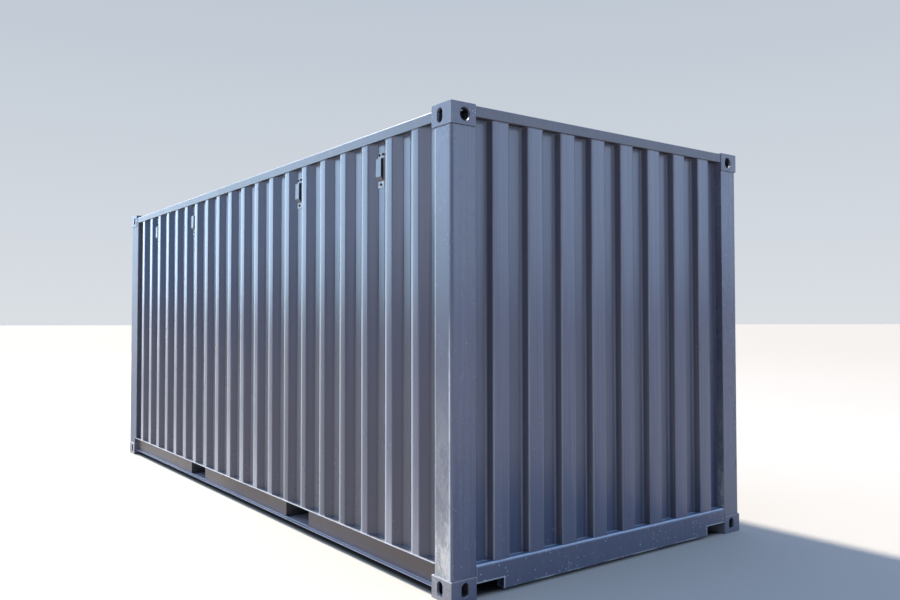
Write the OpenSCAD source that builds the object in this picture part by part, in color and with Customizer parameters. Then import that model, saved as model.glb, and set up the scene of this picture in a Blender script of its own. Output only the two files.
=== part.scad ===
// Twenty-foot general purpose steel shipping container, closed.
// X runs along the container, with the blind front end at +X and the doors at -X.
// Y runs across it and Z is up. Z = 0 is the underside of the bottom corner fittings.
// The right-hand side, as seen from the doors, is at -Y.

/* [Overall] */
// Length over the corner fittings
length = 6058; // [6048:1:6068]
// Width over the corner fittings
width = 2438; // [2428:1:2448]
// Height over the corner fittings
height = 2591; // [2438:1:2896]

/* [Corner fittings] */
// Length of a fitting along the container
fit_l = 178; // [176:1:180]
// Width of a fitting across the container
fit_w = 162; // [160:1:164]
// Height of a fitting
fit_h = 118; // [116:1:120]
// Length of the oblong hole in the top or bottom face
slot_l = 124; // [120:0.5:126]
// Width of the oblong hole in the top or bottom face
slot_w = 63.5; // [60:0.5:65]
// Centre of the hole to the end of the container
hole_x = 102.5; // [101:0.5:104]
// Centre of the hole to the side of the container
hole_y = 89.5; // [88:0.5:91]

/* [Walls] */
// Thickness of the wall sheets
sheet = 2; // [1.6:0.1:3]
// Pitch of the side wall corrugation
side_pitch = 278; // [274:1:280]
// Depth of the side wall corrugation
side_depth = 36; // [25:1:38]
// Pitch of the front wall corrugation
front_pitch = 250; // [246:1:252]
// Depth of the front wall corrugation
front_depth = 45.6; // [30:0.2:46]

/* [Base] */
// Top of the bottom side rails
rail_top = 180; // [178:1:184]
// Underside of the bottom side rails
rail_low = 42; // [36:1:46]
// Centre of the forklift pocket towards the doors
pocket_a = -930; // [-960:5:-900]
// Centre of the forklift pocket towards the front
pocket_b = 1120; // [1090:5:1150]
// Clear width of a forklift pocket
pocket_w = 360; // [340:5:370]

/* [Doors] */
// Diameter of a lock rod
rod_d = 34; // [28:1:36]
// Lock rod nearest the middle, from the centre line
rod_in = 262; // [250:1:290]
// Lock rod nearest the post, from the centre line
rod_out = 868; // [840:1:890]

/* [Hidden] */
$fn = 48;

hx = length / 2;          // half length
hy = width / 2;           // half width
paint = "slategray";
face = 4;                 // frame faces sit this far inside the fittings
t_rail = 4.5;
post_in = hy - fit_w;     // inner side of the front posts
wall_set = 12;            // outer flats of the side walls, in from the side
front_set = 13;           // outer flats of the front wall, in from the end
top_rail_low = height - 86;
top_rail_top = height - 26;
head_low = height - 66;
head_top = height - 6;
sill_top = 175;
deck_low = 164.5;
deck_t = 28;
deck_top = deck_low + deck_t;
door_face = -hx + 64;     // outer face of the door leaves
door_t = 50;
leaf_y0 = 9;              // leaf edge at the middle
leaf_y1 = 1160;           // leaf edge at the post
leaf_z0 = 200;
leaf_z1 = height - 126;
rod_x = -hx + 32;
rod_ys = [rod_in, rod_out];
n_side = 20;              // raised flats on a side wall
n_front = 8;              // raised flats on the front wall
rear_flange = 232;        // width of the rear post on the side
front_post_w = 154;       // width of the front post on the side

// ---------- helpers ----------
// A box from its low corner to its high corner
module box(a, b) { translate(a) cube(b - a); }
// A box given for the right-hand side is mirrored to the left-hand side
module on(side) { if (side > 0) mirror([0, 1, 0]) children(); else children(); }
// Extrude a YZ outline along X, from x0
module along_x(x0, l) { translate([x0, 0, 0]) rotate([90, 0, 90]) linear_extrude(l) children(); }
// Extrude an XZ outline along Y, centred
module along_y(l) { rotate([90, 0, 0]) linear_extrude(l, center = true) children(); }

// Points of a folded sheet: v is [position, depth, sign of the slope that the bend belongs to]
function back_shift(t, depth, slope) = t * tan(atan2(depth, slope) / 2);
function sheet_front(v) = [for (p = v) [p[0], p[1]]];
function sheet_back(v, t, k) = [for (i = [len(v) - 1:-1:0]) [v[i][0] + v[i][2] * k, v[i][1] + t]];
function fold(starts, flat, slope, depth) = [for (s = starts)
  each [[s - slope, depth, 1], [s, 0, 1], [s + flat, 0, -1], [s + flat + slope, depth, -1]]];
function folded(first, last, starts, flat, slope, depth) =
  concat([[first, depth, 0]], fold(starts, flat, slope, depth), [[last, depth, 0]]);
module sheet_outline(v, t, depth, slope)
  polygon(concat(sheet_front(v), sheet_back(v, t, back_shift(t, depth, slope))));

// ---------- corner fittings ----------
// An oblong hole through a wall: centre, length, width
module oblong(l, w, h) {
  translate([0, 0, -h / 2]) {
    translate([-(l - w) / 2, 0, 0]) cylinder(d = w, h = h);
    translate([(l - w) / 2, 0, 0]) cylinder(d = w, h = h);
    translate([-(l - w) / 2, -w / 2, 0]) cube([l - w, w, h]);
  }
}
// A bottom front fitting at the right-hand side; its slotted face is at z = 0
module fitting(end_w, end_h) {
  difference() {
    box([hx - fit_l, -hy, 0], [hx, -hy + fit_w, fit_h]);
    box([hx - fit_l + 11, -hy + 15, 28], [hx - 15, -hy + fit_w - 11, fit_h - 12]);
    translate([hx - hole_x, -hy + hole_y, 14]) oblong(slot_l, slot_w, 30);
    translate([hx - hole_x, -hy + 7, 61]) rotate([90, 0, 0]) rotate([0, 0, 90]) oblong(79.5, 51, 20);
    translate([hx - 7, -hy + hole_y, 61]) rotate([0, 90, 0]) oblong(end_h, end_w, 20);
  }
}
module fitting_at(front, side, top) color(paint)
  mirror([front ? 0 : 1, 0, 0]) mirror([0, side > 0 ? 1 : 0, 0])
    if (top) translate([0, 0, height]) mirror([0, 0, 1]) fitting(63.5, 74);
    else fitting(51, 79.5);

// ---------- end and side frames ----------
// Pressed front post: a closed section with a rounded outer corner
module front_post(side) color(paint) on(side)
  translate([0, 0, fit_h]) linear_extrude(height - 2 * fit_h) difference() {
    union() {
      translate([hx - face - front_post_w, -hy + face + 16]) square([front_post_w, fit_w - face - 16]);
      translate([hx - face - front_post_w, -hy + face]) square([front_post_w - 16, 20]);
      translate([hx - face - 16, -hy + face + 16]) circle(r = 16);
    }
    translate([hx - face - front_post_w + 6, -hy + face + 6]) square([front_post_w - 22, fit_w - face - 12]);
    translate([hx - face - 20, -hy + face + 20]) square([14, fit_w - face - 26]);
  }
// Rear post: outer channel beside the door, door stop, and a flange on the side
module rear_post(side) color(paint) on(side) {
  translate([0, 0, fit_h]) linear_extrude(height - 2 * fit_h) difference() {
    union() {
      translate([-hx + face, -hy + face]) square([fit_l - face, 38]);
      translate([-hx + 124, -hy + face]) square([fit_l - 124, 45]);
    }
    translate([-hx + face + 10, -hy + face + 10]) square([96, 18]);
    translate([-hx + 132, -hy + face + 8]) square([fit_l - 138, 30]);
  }
  translate([0, 0, rail_top]) linear_extrude(top_rail_low - rail_top) {
    translate([-hx + fit_l, -hy + face]) square([rear_flange - fit_l, 6]);
    translate([-hx + rear_flange - 6, -hy + face]) square([6, 45]);
  }
}
module front_header() color(paint) difference() {
  box([hx - 64, -post_in, head_low], [hx - face, post_in, head_top]);
  box([hx - 61, -post_in - 1, head_low + 3], [hx - face - 3, post_in + 1, head_top - 3]);
}
// Front sill: a folded box with a bevelled top edge and a relief beside each fitting
module front_sill() color(paint) difference() {
  along_y(2 * post_in) difference() {
    polygon([[hx - 64, 22], [hx - 3, 22], [hx - 3, sill_top - 12], [hx - 12, sill_top], [hx - 64, sill_top]]);
    polygon([[hx - 60, 26], [hx - 7, 26], [hx - 7, sill_top - 15], [hx - 14, sill_top - 4], [hx - 60, sill_top - 4]]);
  }
  for (s = [-1, 1]) box([hx - 70, s > 0 ? post_in - 188 : -post_in - 1, 10], [hx, s > 0 ? post_in + 1 : -post_in + 188, 80]);
}
module front_sill_lids() color(paint) for (s = [-1, 1])
  box([hx - 64, s > 0 ? post_in - 192 : -post_in, 80], [hx - 3, s > 0 ? post_in : -post_in + 192, 84.5]);
module top_rail(side) color(paint) on(side) difference() {
  box([-hx + fit_l, -hy + face, top_rail_low], [hx - fit_l, -hy + 64, top_rail_top]);
  box([-hx + fit_l - 1, -hy + face + 3, top_rail_low + 3], [hx - fit_l + 1, -hy + 61, top_rail_top - 3]);
}
// Bottom side rail: a channel that opens outwards, with its lower flange shorter, in three lengths between the pockets
rail_line = [[-hy + 3, rail_top], [-hy + 51, rail_top], [-hy + 51, rail_low], [-hy + 21, rail_low],
  [-hy + 21, rail_low + t_rail], [-hy + 51 - t_rail, rail_low + t_rail], [-hy + 51 - t_rail, rail_top - t_rail], [-hy + 3, rail_top - t_rail]];
rail_ends = [-hx + fit_l, pocket_a - pocket_w / 2, pocket_a + pocket_w / 2, pocket_b - pocket_w / 2, pocket_b + pocket_w / 2, hx - face - front_post_w];
module bottom_rail(side) color(paint) on(side) difference() {
  for (i = [0, 2, 4]) along_x(rail_ends[i], rail_ends[i + 1] - rail_ends[i]) polygon(rail_line);
  box([hx - fit_l, -hy - 1, 0], [hx, -hy + 100, fit_h]);
}
// What carries the rail over each pocket: its top flange and a strip of web
module pocket_lintels() color(paint) for (s = [-1, 1], c = [pocket_a, pocket_b]) on(s)
  along_x(c - pocket_w / 2, pocket_w) polygon([[-hy + 3, rail_top], [-hy + 51, rail_top], [-hy + 51, 161],
    [-hy + 51 - t_rail, 161], [-hy + 51 - t_rail, rail_top - t_rail], [-hy + 3, rail_top - t_rail]]);

// ---------- walls ----------
side_last = hx - 320;     // right end of the raised flat nearest the front
side_starts = [for (k = [n_side - 1:-1:0]) side_last - 72 - k * side_pitch];
side_v = folded(-hx + rear_flange, hx - face - front_post_w, side_starts, 72, 68, side_depth);
module side_wall(side) color(paint) on(side) difference() {
  translate([0, -hy + wall_set, rail_top]) linear_extrude(top_rail_low - rail_top)
    sheet_outline(side_v, sheet, side_depth, 68);
  box([hx - fit_l, -hy, height - fit_h], [hx, -hy + 100, height]);
}
front_starts = [for (k = [0:n_front - 1]) (k - n_front / 2) * front_pitch + front_pitch / 2 - 55];
front_v = folded(-post_in, post_in, front_starts, 110, 18, front_depth);
module front_wall() color(paint)
  translate([hx - front_set, 0, sill_top]) linear_extrude(head_low - sill_top)
    rotate(90) sheet_outline(front_v, sheet, front_depth, 18);
// A hooded vent on a recessed flat: a plate with a tapered hood, two bolts above it and one below
module vent(xc) {
  y0 = -hy + wall_set + side_depth;
  box([xc - 34, y0 - 3, height - 356], [xc + 34, y0, height - 145]);
  along_x(xc - 29, 58) polygon([[y0 - 2.9, height - 177], [y0 - 23, height - 184], [y0 - 24, height - 292], [y0 - 2.9, height - 318]]);
  for (p = [[-21.5, -158], [21.5, -158], [0, -336]]) translate([xc + p[0], y0 - 2.9, height + p[1]]) rotate([90, 0, 0]) cylinder(r = 6.5, h = 5.1, $fn = 6);
}
vent_flats = [2, 6, 14, 18];
module vents(side) color(paint) on(side)
  for (k = vent_flats) vent(side_last - k * side_pitch + 103);

// ---------- roof ----------
roof_x0 = -hx + 164;
roof_x1 = hx - 64;
roof_z = top_rail_top;
n_roof = 27;
roof_pitch = (roof_x1 - roof_x0 - 60) / n_roof;
// A pressed ridge across the roof: flat-topped, with sloping sides and ends
module ridge(w, l, h, s, e, z) {
  polyhedron([[-w / 2, -l / 2, z], [w / 2, -l / 2, z], [w / 2, l / 2, z], [-w / 2, l / 2, z],
    [-w / 2 + s, -l / 2 + e, z + h], [w / 2 - s, -l / 2 + e, z + h], [w / 2 - s, l / 2 - e, z + h], [-w / 2 + s, l / 2 - e, z + h]],
    [[0, 1, 2, 3], [7, 6, 5, 4], [0, 4, 5, 1], [1, 5, 6, 2], [2, 6, 7, 3], [3, 7, 4, 0]]);
}
module roof_sheet() color(paint) difference() {
  union() {
    box([roof_x0, -hy + 34, roof_z], [roof_x1, hy - 34, roof_z + sheet]);
    for (i = [0:n_roof - 1]) translate([roof_x0 + 30 + (i + 0.5) * roof_pitch, 0, roof_z])
      ridge(118, 2 * hy - 230, 19.5, 13.5, 40, sheet / 2);
  }
  for (i = [0:n_roof - 1]) translate([roof_x0 + 30 + (i + 0.5) * roof_pitch, 0, roof_z])
    ridge(114, 2 * hy - 236, 18, 13.3, 39, -0.5);
  for (s = [-1, 1], e = [-1, 1])
    box([e > 0 ? hx - fit_l : -hx - 1, s > 0 ? post_in : -hy - 1, roof_z - 10], [e > 0 ? hx + 1 : -hx + fit_l, s > 0 ? hy + 1 : -post_in, height + 1]);
}
// Flat plates that guard the roof beside each top fitting
module roof_gussets() color(paint) for (s = [-1, 1], e = [-1, 1])
  mirror([e > 0 ? 0 : 1, 0, 0]) mirror([0, s > 0 ? 1 : 0, 0])
    box([hx - fit_l - 52, -hy + 40, roof_z + sheet], [hx - fit_l, -hy + 96, roof_z + sheet + 3]);

// ---------- base ----------
cross_xs = [-2640, -2370, -2100, -1830, -1560, -1300, -520, -250, 20, 290, 560, 800, 1470, 1740, 2010, 2280, 2550, 2790];
member_low = 42.5;
module cross_members() color(paint) for (x = cross_xs) translate([x, 0, 0]) along_y(2 * (hy - 51))
  polygon([[0, member_low], [45, member_low], [45, member_low + 4], [4, member_low + 4], [4, deck_low - 4], [45, deck_low - 4], [45, deck_low], [0, deck_low]]);
// Each pocket is a tunnel from side to side, between two channels
module pocket_walls() color(paint) for (c = [pocket_a, pocket_b], s = [-1, 1]) translate([c, 0, 0]) {
  w = pocket_w / 2;
  along_y(2 * (hy - 51)) polygon([[s * w, rail_low], [s * (w + 45), rail_low], [s * (w + 45), rail_low + 4], [s * (w + 4.5), rail_low + 4],
    [s * (w + 4.5), deck_low - 4], [s * (w + 45), deck_low - 4], [s * (w + 45), deck_low], [s * w, deck_low]]);
}
module pocket_tops() color(paint) for (c = [pocket_a, pocket_b])
  box([c - pocket_w / 2, -hy + 51, 161], [c + pocket_w / 2, hy - 51, deck_low]);
// The bottom plate at each mouth of a pocket runs out level with the rail's lower flange
module pocket_plates() color(paint) for (s = [-1, 1], c = [pocket_a, pocket_b]) on(s)
  box([c - pocket_w / 2, -hy + 21, rail_low], [c + pocket_w / 2, -hy + 251, rail_low + t_rail]);
// Plywood deck in two halves, split by a steel rail along the middle
module floor_deck() color("burlywood") for (s = [-1, 1]) difference() {
  box([-hx + 164, s > 0 ? 36 : -hy + 62, deck_low], [hx - 64, s > 0 ? hy - 62 : -36, deck_top]);
  box([hx - face - front_post_w - 2, s > 0 ? post_in - 2 : -hy, deck_low - 1], [hx, s > 0 ? hy : -post_in + 2, deck_top + 1]);
}
module floor_centre_rail() color(paint) along_x(-hx + 164, length - 228)
  polygon([[-36, deck_low], [36, deck_low], [36, deck_low + 4], [24, deck_low + 4], [24, deck_top], [-24, deck_top], [-24, deck_low + 4], [-36, deck_low + 4]]);

// ---------- door end ----------
module door_header() color(paint) difference() {
  box([door_face, -post_in, height - fit_h], [-hx + 164, post_in, head_top]);
  box([door_face + 4, -post_in - 1, height - fit_h + 4], [-hx + 160, post_in + 1, head_top - 4]);
}
module door_sill() color(paint) difference() {
  union() {
    box([door_face, -post_in, 20], [-hx + 164, post_in, deck_top]);
    box([door_face, -hy + 50, fit_h], [-hx + 164, hy - 50, deck_top]);
  }
  box([door_face + 5, -post_in - 1, 25], [-hx + 159, post_in + 1, deck_top - 5]);
}
leaf_starts = [for (y = [leaf_y0 + 178, leaf_y0 + 178 + 285, leaf_y0 + 178 + 570]) y];
leaf_v = folded(leaf_y0 + 99, leaf_y1 - 99, [for (y = leaf_starts) y + 40], 144, 30, 30);
// A door leaf: a hollow-section frame round a folded sheet
module door_leaf(side) color(paint) on(side) mirror([0, 1, 0]) {
  difference() {
    box([door_face, leaf_y0, leaf_z0], [door_face + door_t, leaf_y1, leaf_z1]);
    box([door_face - 1, leaf_y0 + 100, leaf_z0 + 150], [door_face + door_t + 1, leaf_y1 - 100, leaf_z1 - 150]);
    for (y = [leaf_y0 + 3.2, leaf_y1 - 96.8]) box([door_face + 3.2, y, leaf_z0 + 3.2], [door_face + door_t - 3.2, y + 93.6, leaf_z1 - 3.2]);
    for (z = [leaf_z0 + 3.2, leaf_z1 - 146.8]) box([door_face + 3.2, leaf_y0 + 50, z], [door_face + door_t - 3.2, leaf_y1 - 50, z + 143.6]);
  }
  translate([door_face + 4, 0, leaf_z0 + 149]) linear_extrude(leaf_z1 - leaf_z0 - 298)
    mirror([1, 0]) rotate(90) sheet_outline(leaf_v, sheet, 30, 30);
}
// Rubber seal round each leaf
module door_gaskets() color("black") for (s = [-1, 1]) on(s) mirror([0, 1, 0]) difference() {
  box([door_face + 12, leaf_y0 - 8, leaf_z0 - 7], [door_face + 42, leaf_y1 + 14, leaf_z1 + 7]);
  box([door_face + 11, leaf_y0, leaf_z0], [door_face + 43, leaf_y1, leaf_z1]);
}
hinge_zs = [330, 960, 1640, height - 280];
pin_y = hy - 58;
pin_x = -hx + 26;
// A hinge: two lugs on the post, a pin, and a blade on the leaf
module hinge(z) {
  for (d = [-52, 34]) box([pin_x - 13, -pin_y - 16, z + d], [pin_x + 17, -pin_y + 12, z + d + 18]);
  translate([pin_x, -pin_y, z - 60]) cylinder(d = 16, h = 120);
  translate([pin_x, -pin_y, z - 34]) cylinder(d = 25, h = 68);
  box([pin_x, -pin_y, z - 34], [pin_x + 12.5, -pin_y + 20, z + 34]);
  box([pin_x + 4, -pin_y + 8, z - 34], [door_face, -pin_y + 20, z + 34]);
  box([door_face - 10, -pin_y + 8, z - 34], [door_face, -pin_y + 150, z + 34]);
}
module door_hinges(side) color(paint) on(side) for (z = hinge_zs) hinge(z);
rod_low = 96;
rod_high = height - 46;
cam_zs = [132, height - 82];
handle_zs = [1210, 1330];
module lock_rods(side) color("silver") on(side) for (y = rod_ys) translate([rod_x, -y, 0]) {
  translate([0, 0, rod_low]) cylinder(d = rod_d, h = rod_high - rod_low);
  for (z = cam_zs) box([-10, -rod_d / 2 - 22, z - 16], [10, 0, z + 16]);
}
// Guides that hold each rod to its leaf
bracket_zs = [leaf_z0 + 75, 700, 1050, 1480, 1900, leaf_z1 - 75];
module rod_brackets() color("silver") for (s = [-1, 1]) on(s) for (y = rod_ys, z = bracket_zs) translate([rod_x, -y, z]) {
  difference() {
    union() {
      translate([0, 0, -22]) cylinder(d = rod_d + 13, h = 44);
      box([0, -rod_d / 2 - 6.5, -22], [door_face - rod_x, rod_d / 2 + 6.5, 22]);
      box([door_face - rod_x - 6, -46, -22], [door_face - rod_x, 46, 22]);
    }
    translate([0, 0, -23]) cylinder(d = rod_d + 1, h = 46);
    box([-rod_d, -7, -23], [0, 7, 23]);
  }
}
// Keepers on the header and sill that the cams turn into
module cam_keepers() color(paint) for (s = [-1, 1]) on(s) for (y = rod_ys, z = cam_zs) translate([0, -y, z]) difference() {
  box([-hx + 8, -rod_d / 2 - 30, -34], [door_face, rod_d / 2 + 14, 34]);
  box([-hx + 0, -rod_d / 2 - 24, -22], [door_face - 6, rod_d / 2 + 20, 22]);
  box([-hx + 0, -rod_d / 2 - 3, -40], [door_face - 6, rod_d / 2 + 3, 40]);
}
// Handles: a clamp round the rod and a flat bar
module handle(y, z, dir) translate([rod_x, -y, z]) {
  difference() {
    translate([0, 0, -28]) cylinder(d = rod_d + 14, h = 56);
    translate([0, 0, -29]) cylinder(d = rod_d + 0.4, h = 58);
    box([-30, -30, 20], [-20.5, 30, 30]);
  }
  box([-20.5, dir > 0 ? rod_d / 2 + 2 : -430, -17], [-11, dir > 0 ? 430 : -rod_d / 2 - 2, 17]);
}
module door_handles() color("silver") for (s = [-1, 1]) on(s) {
  handle(rod_in, handle_zs[0], -1);
  handle(rod_out, handle_zs[1], 1);
}
// Brackets on the leaf that catch the end of each handle
module handle_catches() color(paint) for (s = [-1, 1]) on(s)
  for (p = [[rod_in + 400, handle_zs[0]], [rod_out - 400, handle_zs[1]]]) translate([0, -p[0], p[1]]) {
    box([door_face - 20, -22, -38], [door_face, 22, -20]);
    box([-hx + 7, -22, -38], [door_face - 14, 22, -30]);
    box([-hx + 7, -22, -38], [-hx + 10.5, 22, 8]);
  }

fitting_at(true, -1, false);  // fitting_bottom_front_right
fitting_at(true, 1, false);  // fitting_bottom_front_left
fitting_at(false, -1, false);  // fitting_bottom_rear_right
fitting_at(false, 1, false);  // fitting_bottom_rear_left
fitting_at(true, -1, true);  // fitting_top_front_right
fitting_at(true, 1, true);  // fitting_top_front_left
fitting_at(false, -1, true);  // fitting_top_rear_right
fitting_at(false, 1, true);  // fitting_top_rear_left
front_post(-1);  // front_post_right
front_post(1);  // front_post_left
rear_post(-1);  // rear_post_right
rear_post(1);  // rear_post_left
front_header();
union() { front_sill(); front_sill_lids(); }
front_wall();
top_rail(-1);  // top_rail_right
top_rail(1);  // top_rail_left
bottom_rail(-1);  // bottom_rail_right
bottom_rail(1);  // bottom_rail_left
side_wall(-1);  // side_wall_right
side_wall(1);  // side_wall_left
vents(-1);  // vents_right
vents(1);  // vents_left
roof_sheet();
roof_gussets();
cross_members();
pocket_walls();
pocket_tops();
pocket_plates();
pocket_lintels();
floor_deck();
floor_centre_rail();
door_header();
door_sill();
door_leaf(-1);  // door_right
door_leaf(1);  // door_left
door_gaskets();
door_hinges(-1);  // door_hinges_right
door_hinges(1);  // door_hinges_left
lock_rods(-1);  // lock_rods_right
lock_rods(1);  // lock_rods_left
rod_brackets();
cam_keepers();
door_handles();
handle_catches();
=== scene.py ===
# The looks of a twenty-foot steel shipping container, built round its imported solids.
# Metres, +X to the blind front end, doors at -X, +Z up, ground at z = 0.
import math
import random

import bmesh
import bpy
from mathutils import Matrix, Vector, noise


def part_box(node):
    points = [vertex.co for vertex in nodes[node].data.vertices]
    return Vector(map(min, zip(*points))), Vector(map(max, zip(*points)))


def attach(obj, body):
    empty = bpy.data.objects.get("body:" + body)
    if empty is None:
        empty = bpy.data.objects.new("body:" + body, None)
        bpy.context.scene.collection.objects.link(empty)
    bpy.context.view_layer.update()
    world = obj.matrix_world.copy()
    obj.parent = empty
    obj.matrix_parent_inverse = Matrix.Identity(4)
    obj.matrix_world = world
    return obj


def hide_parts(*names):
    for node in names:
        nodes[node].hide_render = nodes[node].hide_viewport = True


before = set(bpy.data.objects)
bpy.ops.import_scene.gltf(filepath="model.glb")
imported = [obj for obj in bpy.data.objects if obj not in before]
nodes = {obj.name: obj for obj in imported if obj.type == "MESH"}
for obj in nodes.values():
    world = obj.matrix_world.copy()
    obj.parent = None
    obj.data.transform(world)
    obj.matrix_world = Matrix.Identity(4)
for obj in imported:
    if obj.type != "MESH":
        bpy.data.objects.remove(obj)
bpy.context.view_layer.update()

HX, HY, H = 3.029, 1.219, 2.591
WALL_Y = HY - 0.012          # outer flats of the side walls
FRONT_X = HX - 0.013         # outer flats of the front wall
RAIL_TOP, TOP_RAIL_LOW, TOP_RAIL_TOP = 0.180, 2.505, 2.565
SILL_TOP, HEAD_LOW = 0.175, 2.525
POST_IN = 1.057
DOOR_FACE, ROD_X = -2.965, -HX + 0.032
random.seed(7)


# ---------------------------------------------------------------- materials

class Graph:
    """A short way to write a node tree."""

    def __init__(self, name):
        self.mat = bpy.data.materials.new(name)
        self.mat.use_nodes = True
        self.t = self.mat.node_tree
        self.bsdf = self.t.nodes["Principled BSDF"]
        self.coord = self.t.nodes.new("ShaderNodeTexCoord")
        self.geo = self.t.nodes.new("ShaderNodeNewGeometry")
        self.pos = self.coord.outputs["Object"]
        sep = self.t.nodes.new("ShaderNodeSeparateXYZ")
        self.t.links.new(self.pos, sep.inputs[0])
        self.x, self.y, self.z = sep.outputs
        sepn = self.t.nodes.new("ShaderNodeSeparateXYZ")
        self.t.links.new(self.geo.outputs["Normal"], sepn.inputs[0])
        self.nx, self.ny, self.nz = sepn.outputs

    def put(self, socket, v):
        if isinstance(v, bpy.types.NodeSocket):
            self.t.links.new(v, socket)
        else:
            socket.default_value = v

    def math(self, op, a, b=0.0, c=0.0, clamp=False):
        n = self.t.nodes.new("ShaderNodeMath")
        n.operation = op
        n.use_clamp = clamp
        for s, v in zip(n.inputs, (a, b, c)):
            self.put(s, v)
        return n.outputs[0]

    def ramp(self, v, lo, hi, a=0.0, b=1.0):
        n = self.t.nodes.new("ShaderNodeMapRange")
        n.interpolation_type = "SMOOTHSTEP"
        for s, w in zip(n.inputs[:5], (v, lo, hi, a, b)):
            self.put(s, w)
        return n.outputs[0]

    def scaled(self, scale, shift=(0, 0, 0)):
        n = self.t.nodes.new("ShaderNodeMapping")
        self.t.links.new(self.pos, n.inputs["Vector"])
        n.inputs["Scale"].default_value = scale
        n.inputs["Location"].default_value = shift
        return n.outputs[0]

    def noise(self, scale, stretch=(1, 1, 1), detail=3.0, rough=0.55, warp=0.0, shift=(0, 0, 0)):
        n = self.t.nodes.new("ShaderNodeTexNoise")
        self.t.links.new(self.scaled(stretch, shift), n.inputs["Vector"])
        n.inputs["Scale"].default_value = scale
        n.inputs["Detail"].default_value = detail
        n.inputs["Roughness"].default_value = rough
        n.inputs["Distortion"].default_value = warp
        return n.outputs["Fac"]

    def cells(self, scale, stretch=(1, 1, 1), shift=(0, 0, 0)):
        n = self.t.nodes.new("ShaderNodeTexVoronoi")
        self.t.links.new(self.scaled(stretch, shift), n.inputs["Vector"])
        n.inputs["Scale"].default_value = scale
        return n.outputs["Distance"]

    def mix(self, f, a, b):
        n = self.t.nodes.new("ShaderNodeMix")
        n.data_type = "RGBA"
        self.put(n.inputs[0], f)
        for s, v in ((n.inputs[6], a), (n.inputs[7], b)):
            self.put(s, (*v, 1.0) if isinstance(v, tuple) and len(v) == 3 else v)
        return n.outputs[2]

    def bump(self, height, strength, distance, normal=None):
        n = self.t.nodes.new("ShaderNodeBump")
        n.inputs["Strength"].default_value = strength
        n.inputs["Distance"].default_value = distance
        self.t.links.new(height, n.inputs["Height"])
        if normal is not None:
            self.t.links.new(normal, n.inputs["Normal"])
        return n.outputs[0]

    def done(self, colour, rough, metallic=0.0, normal=None):
        self.put(self.bsdf.inputs["Base Color"], colour)
        self.put(self.bsdf.inputs["Roughness"], rough)
        self.bsdf.inputs["Metallic"].default_value = metallic
        if normal is not None:
            self.t.links.new(normal, self.bsdf.inputs["Normal"])
        return self.mat


BLUE = (0.118, 0.131, 0.196)
BLUE_PALE = (0.158, 0.172, 0.246)
BLUE_DEEP = (0.092, 0.104, 0.161)
DUST = (0.380, 0.345, 0.300)
CHALK = (0.340, 0.355, 0.385)


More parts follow.
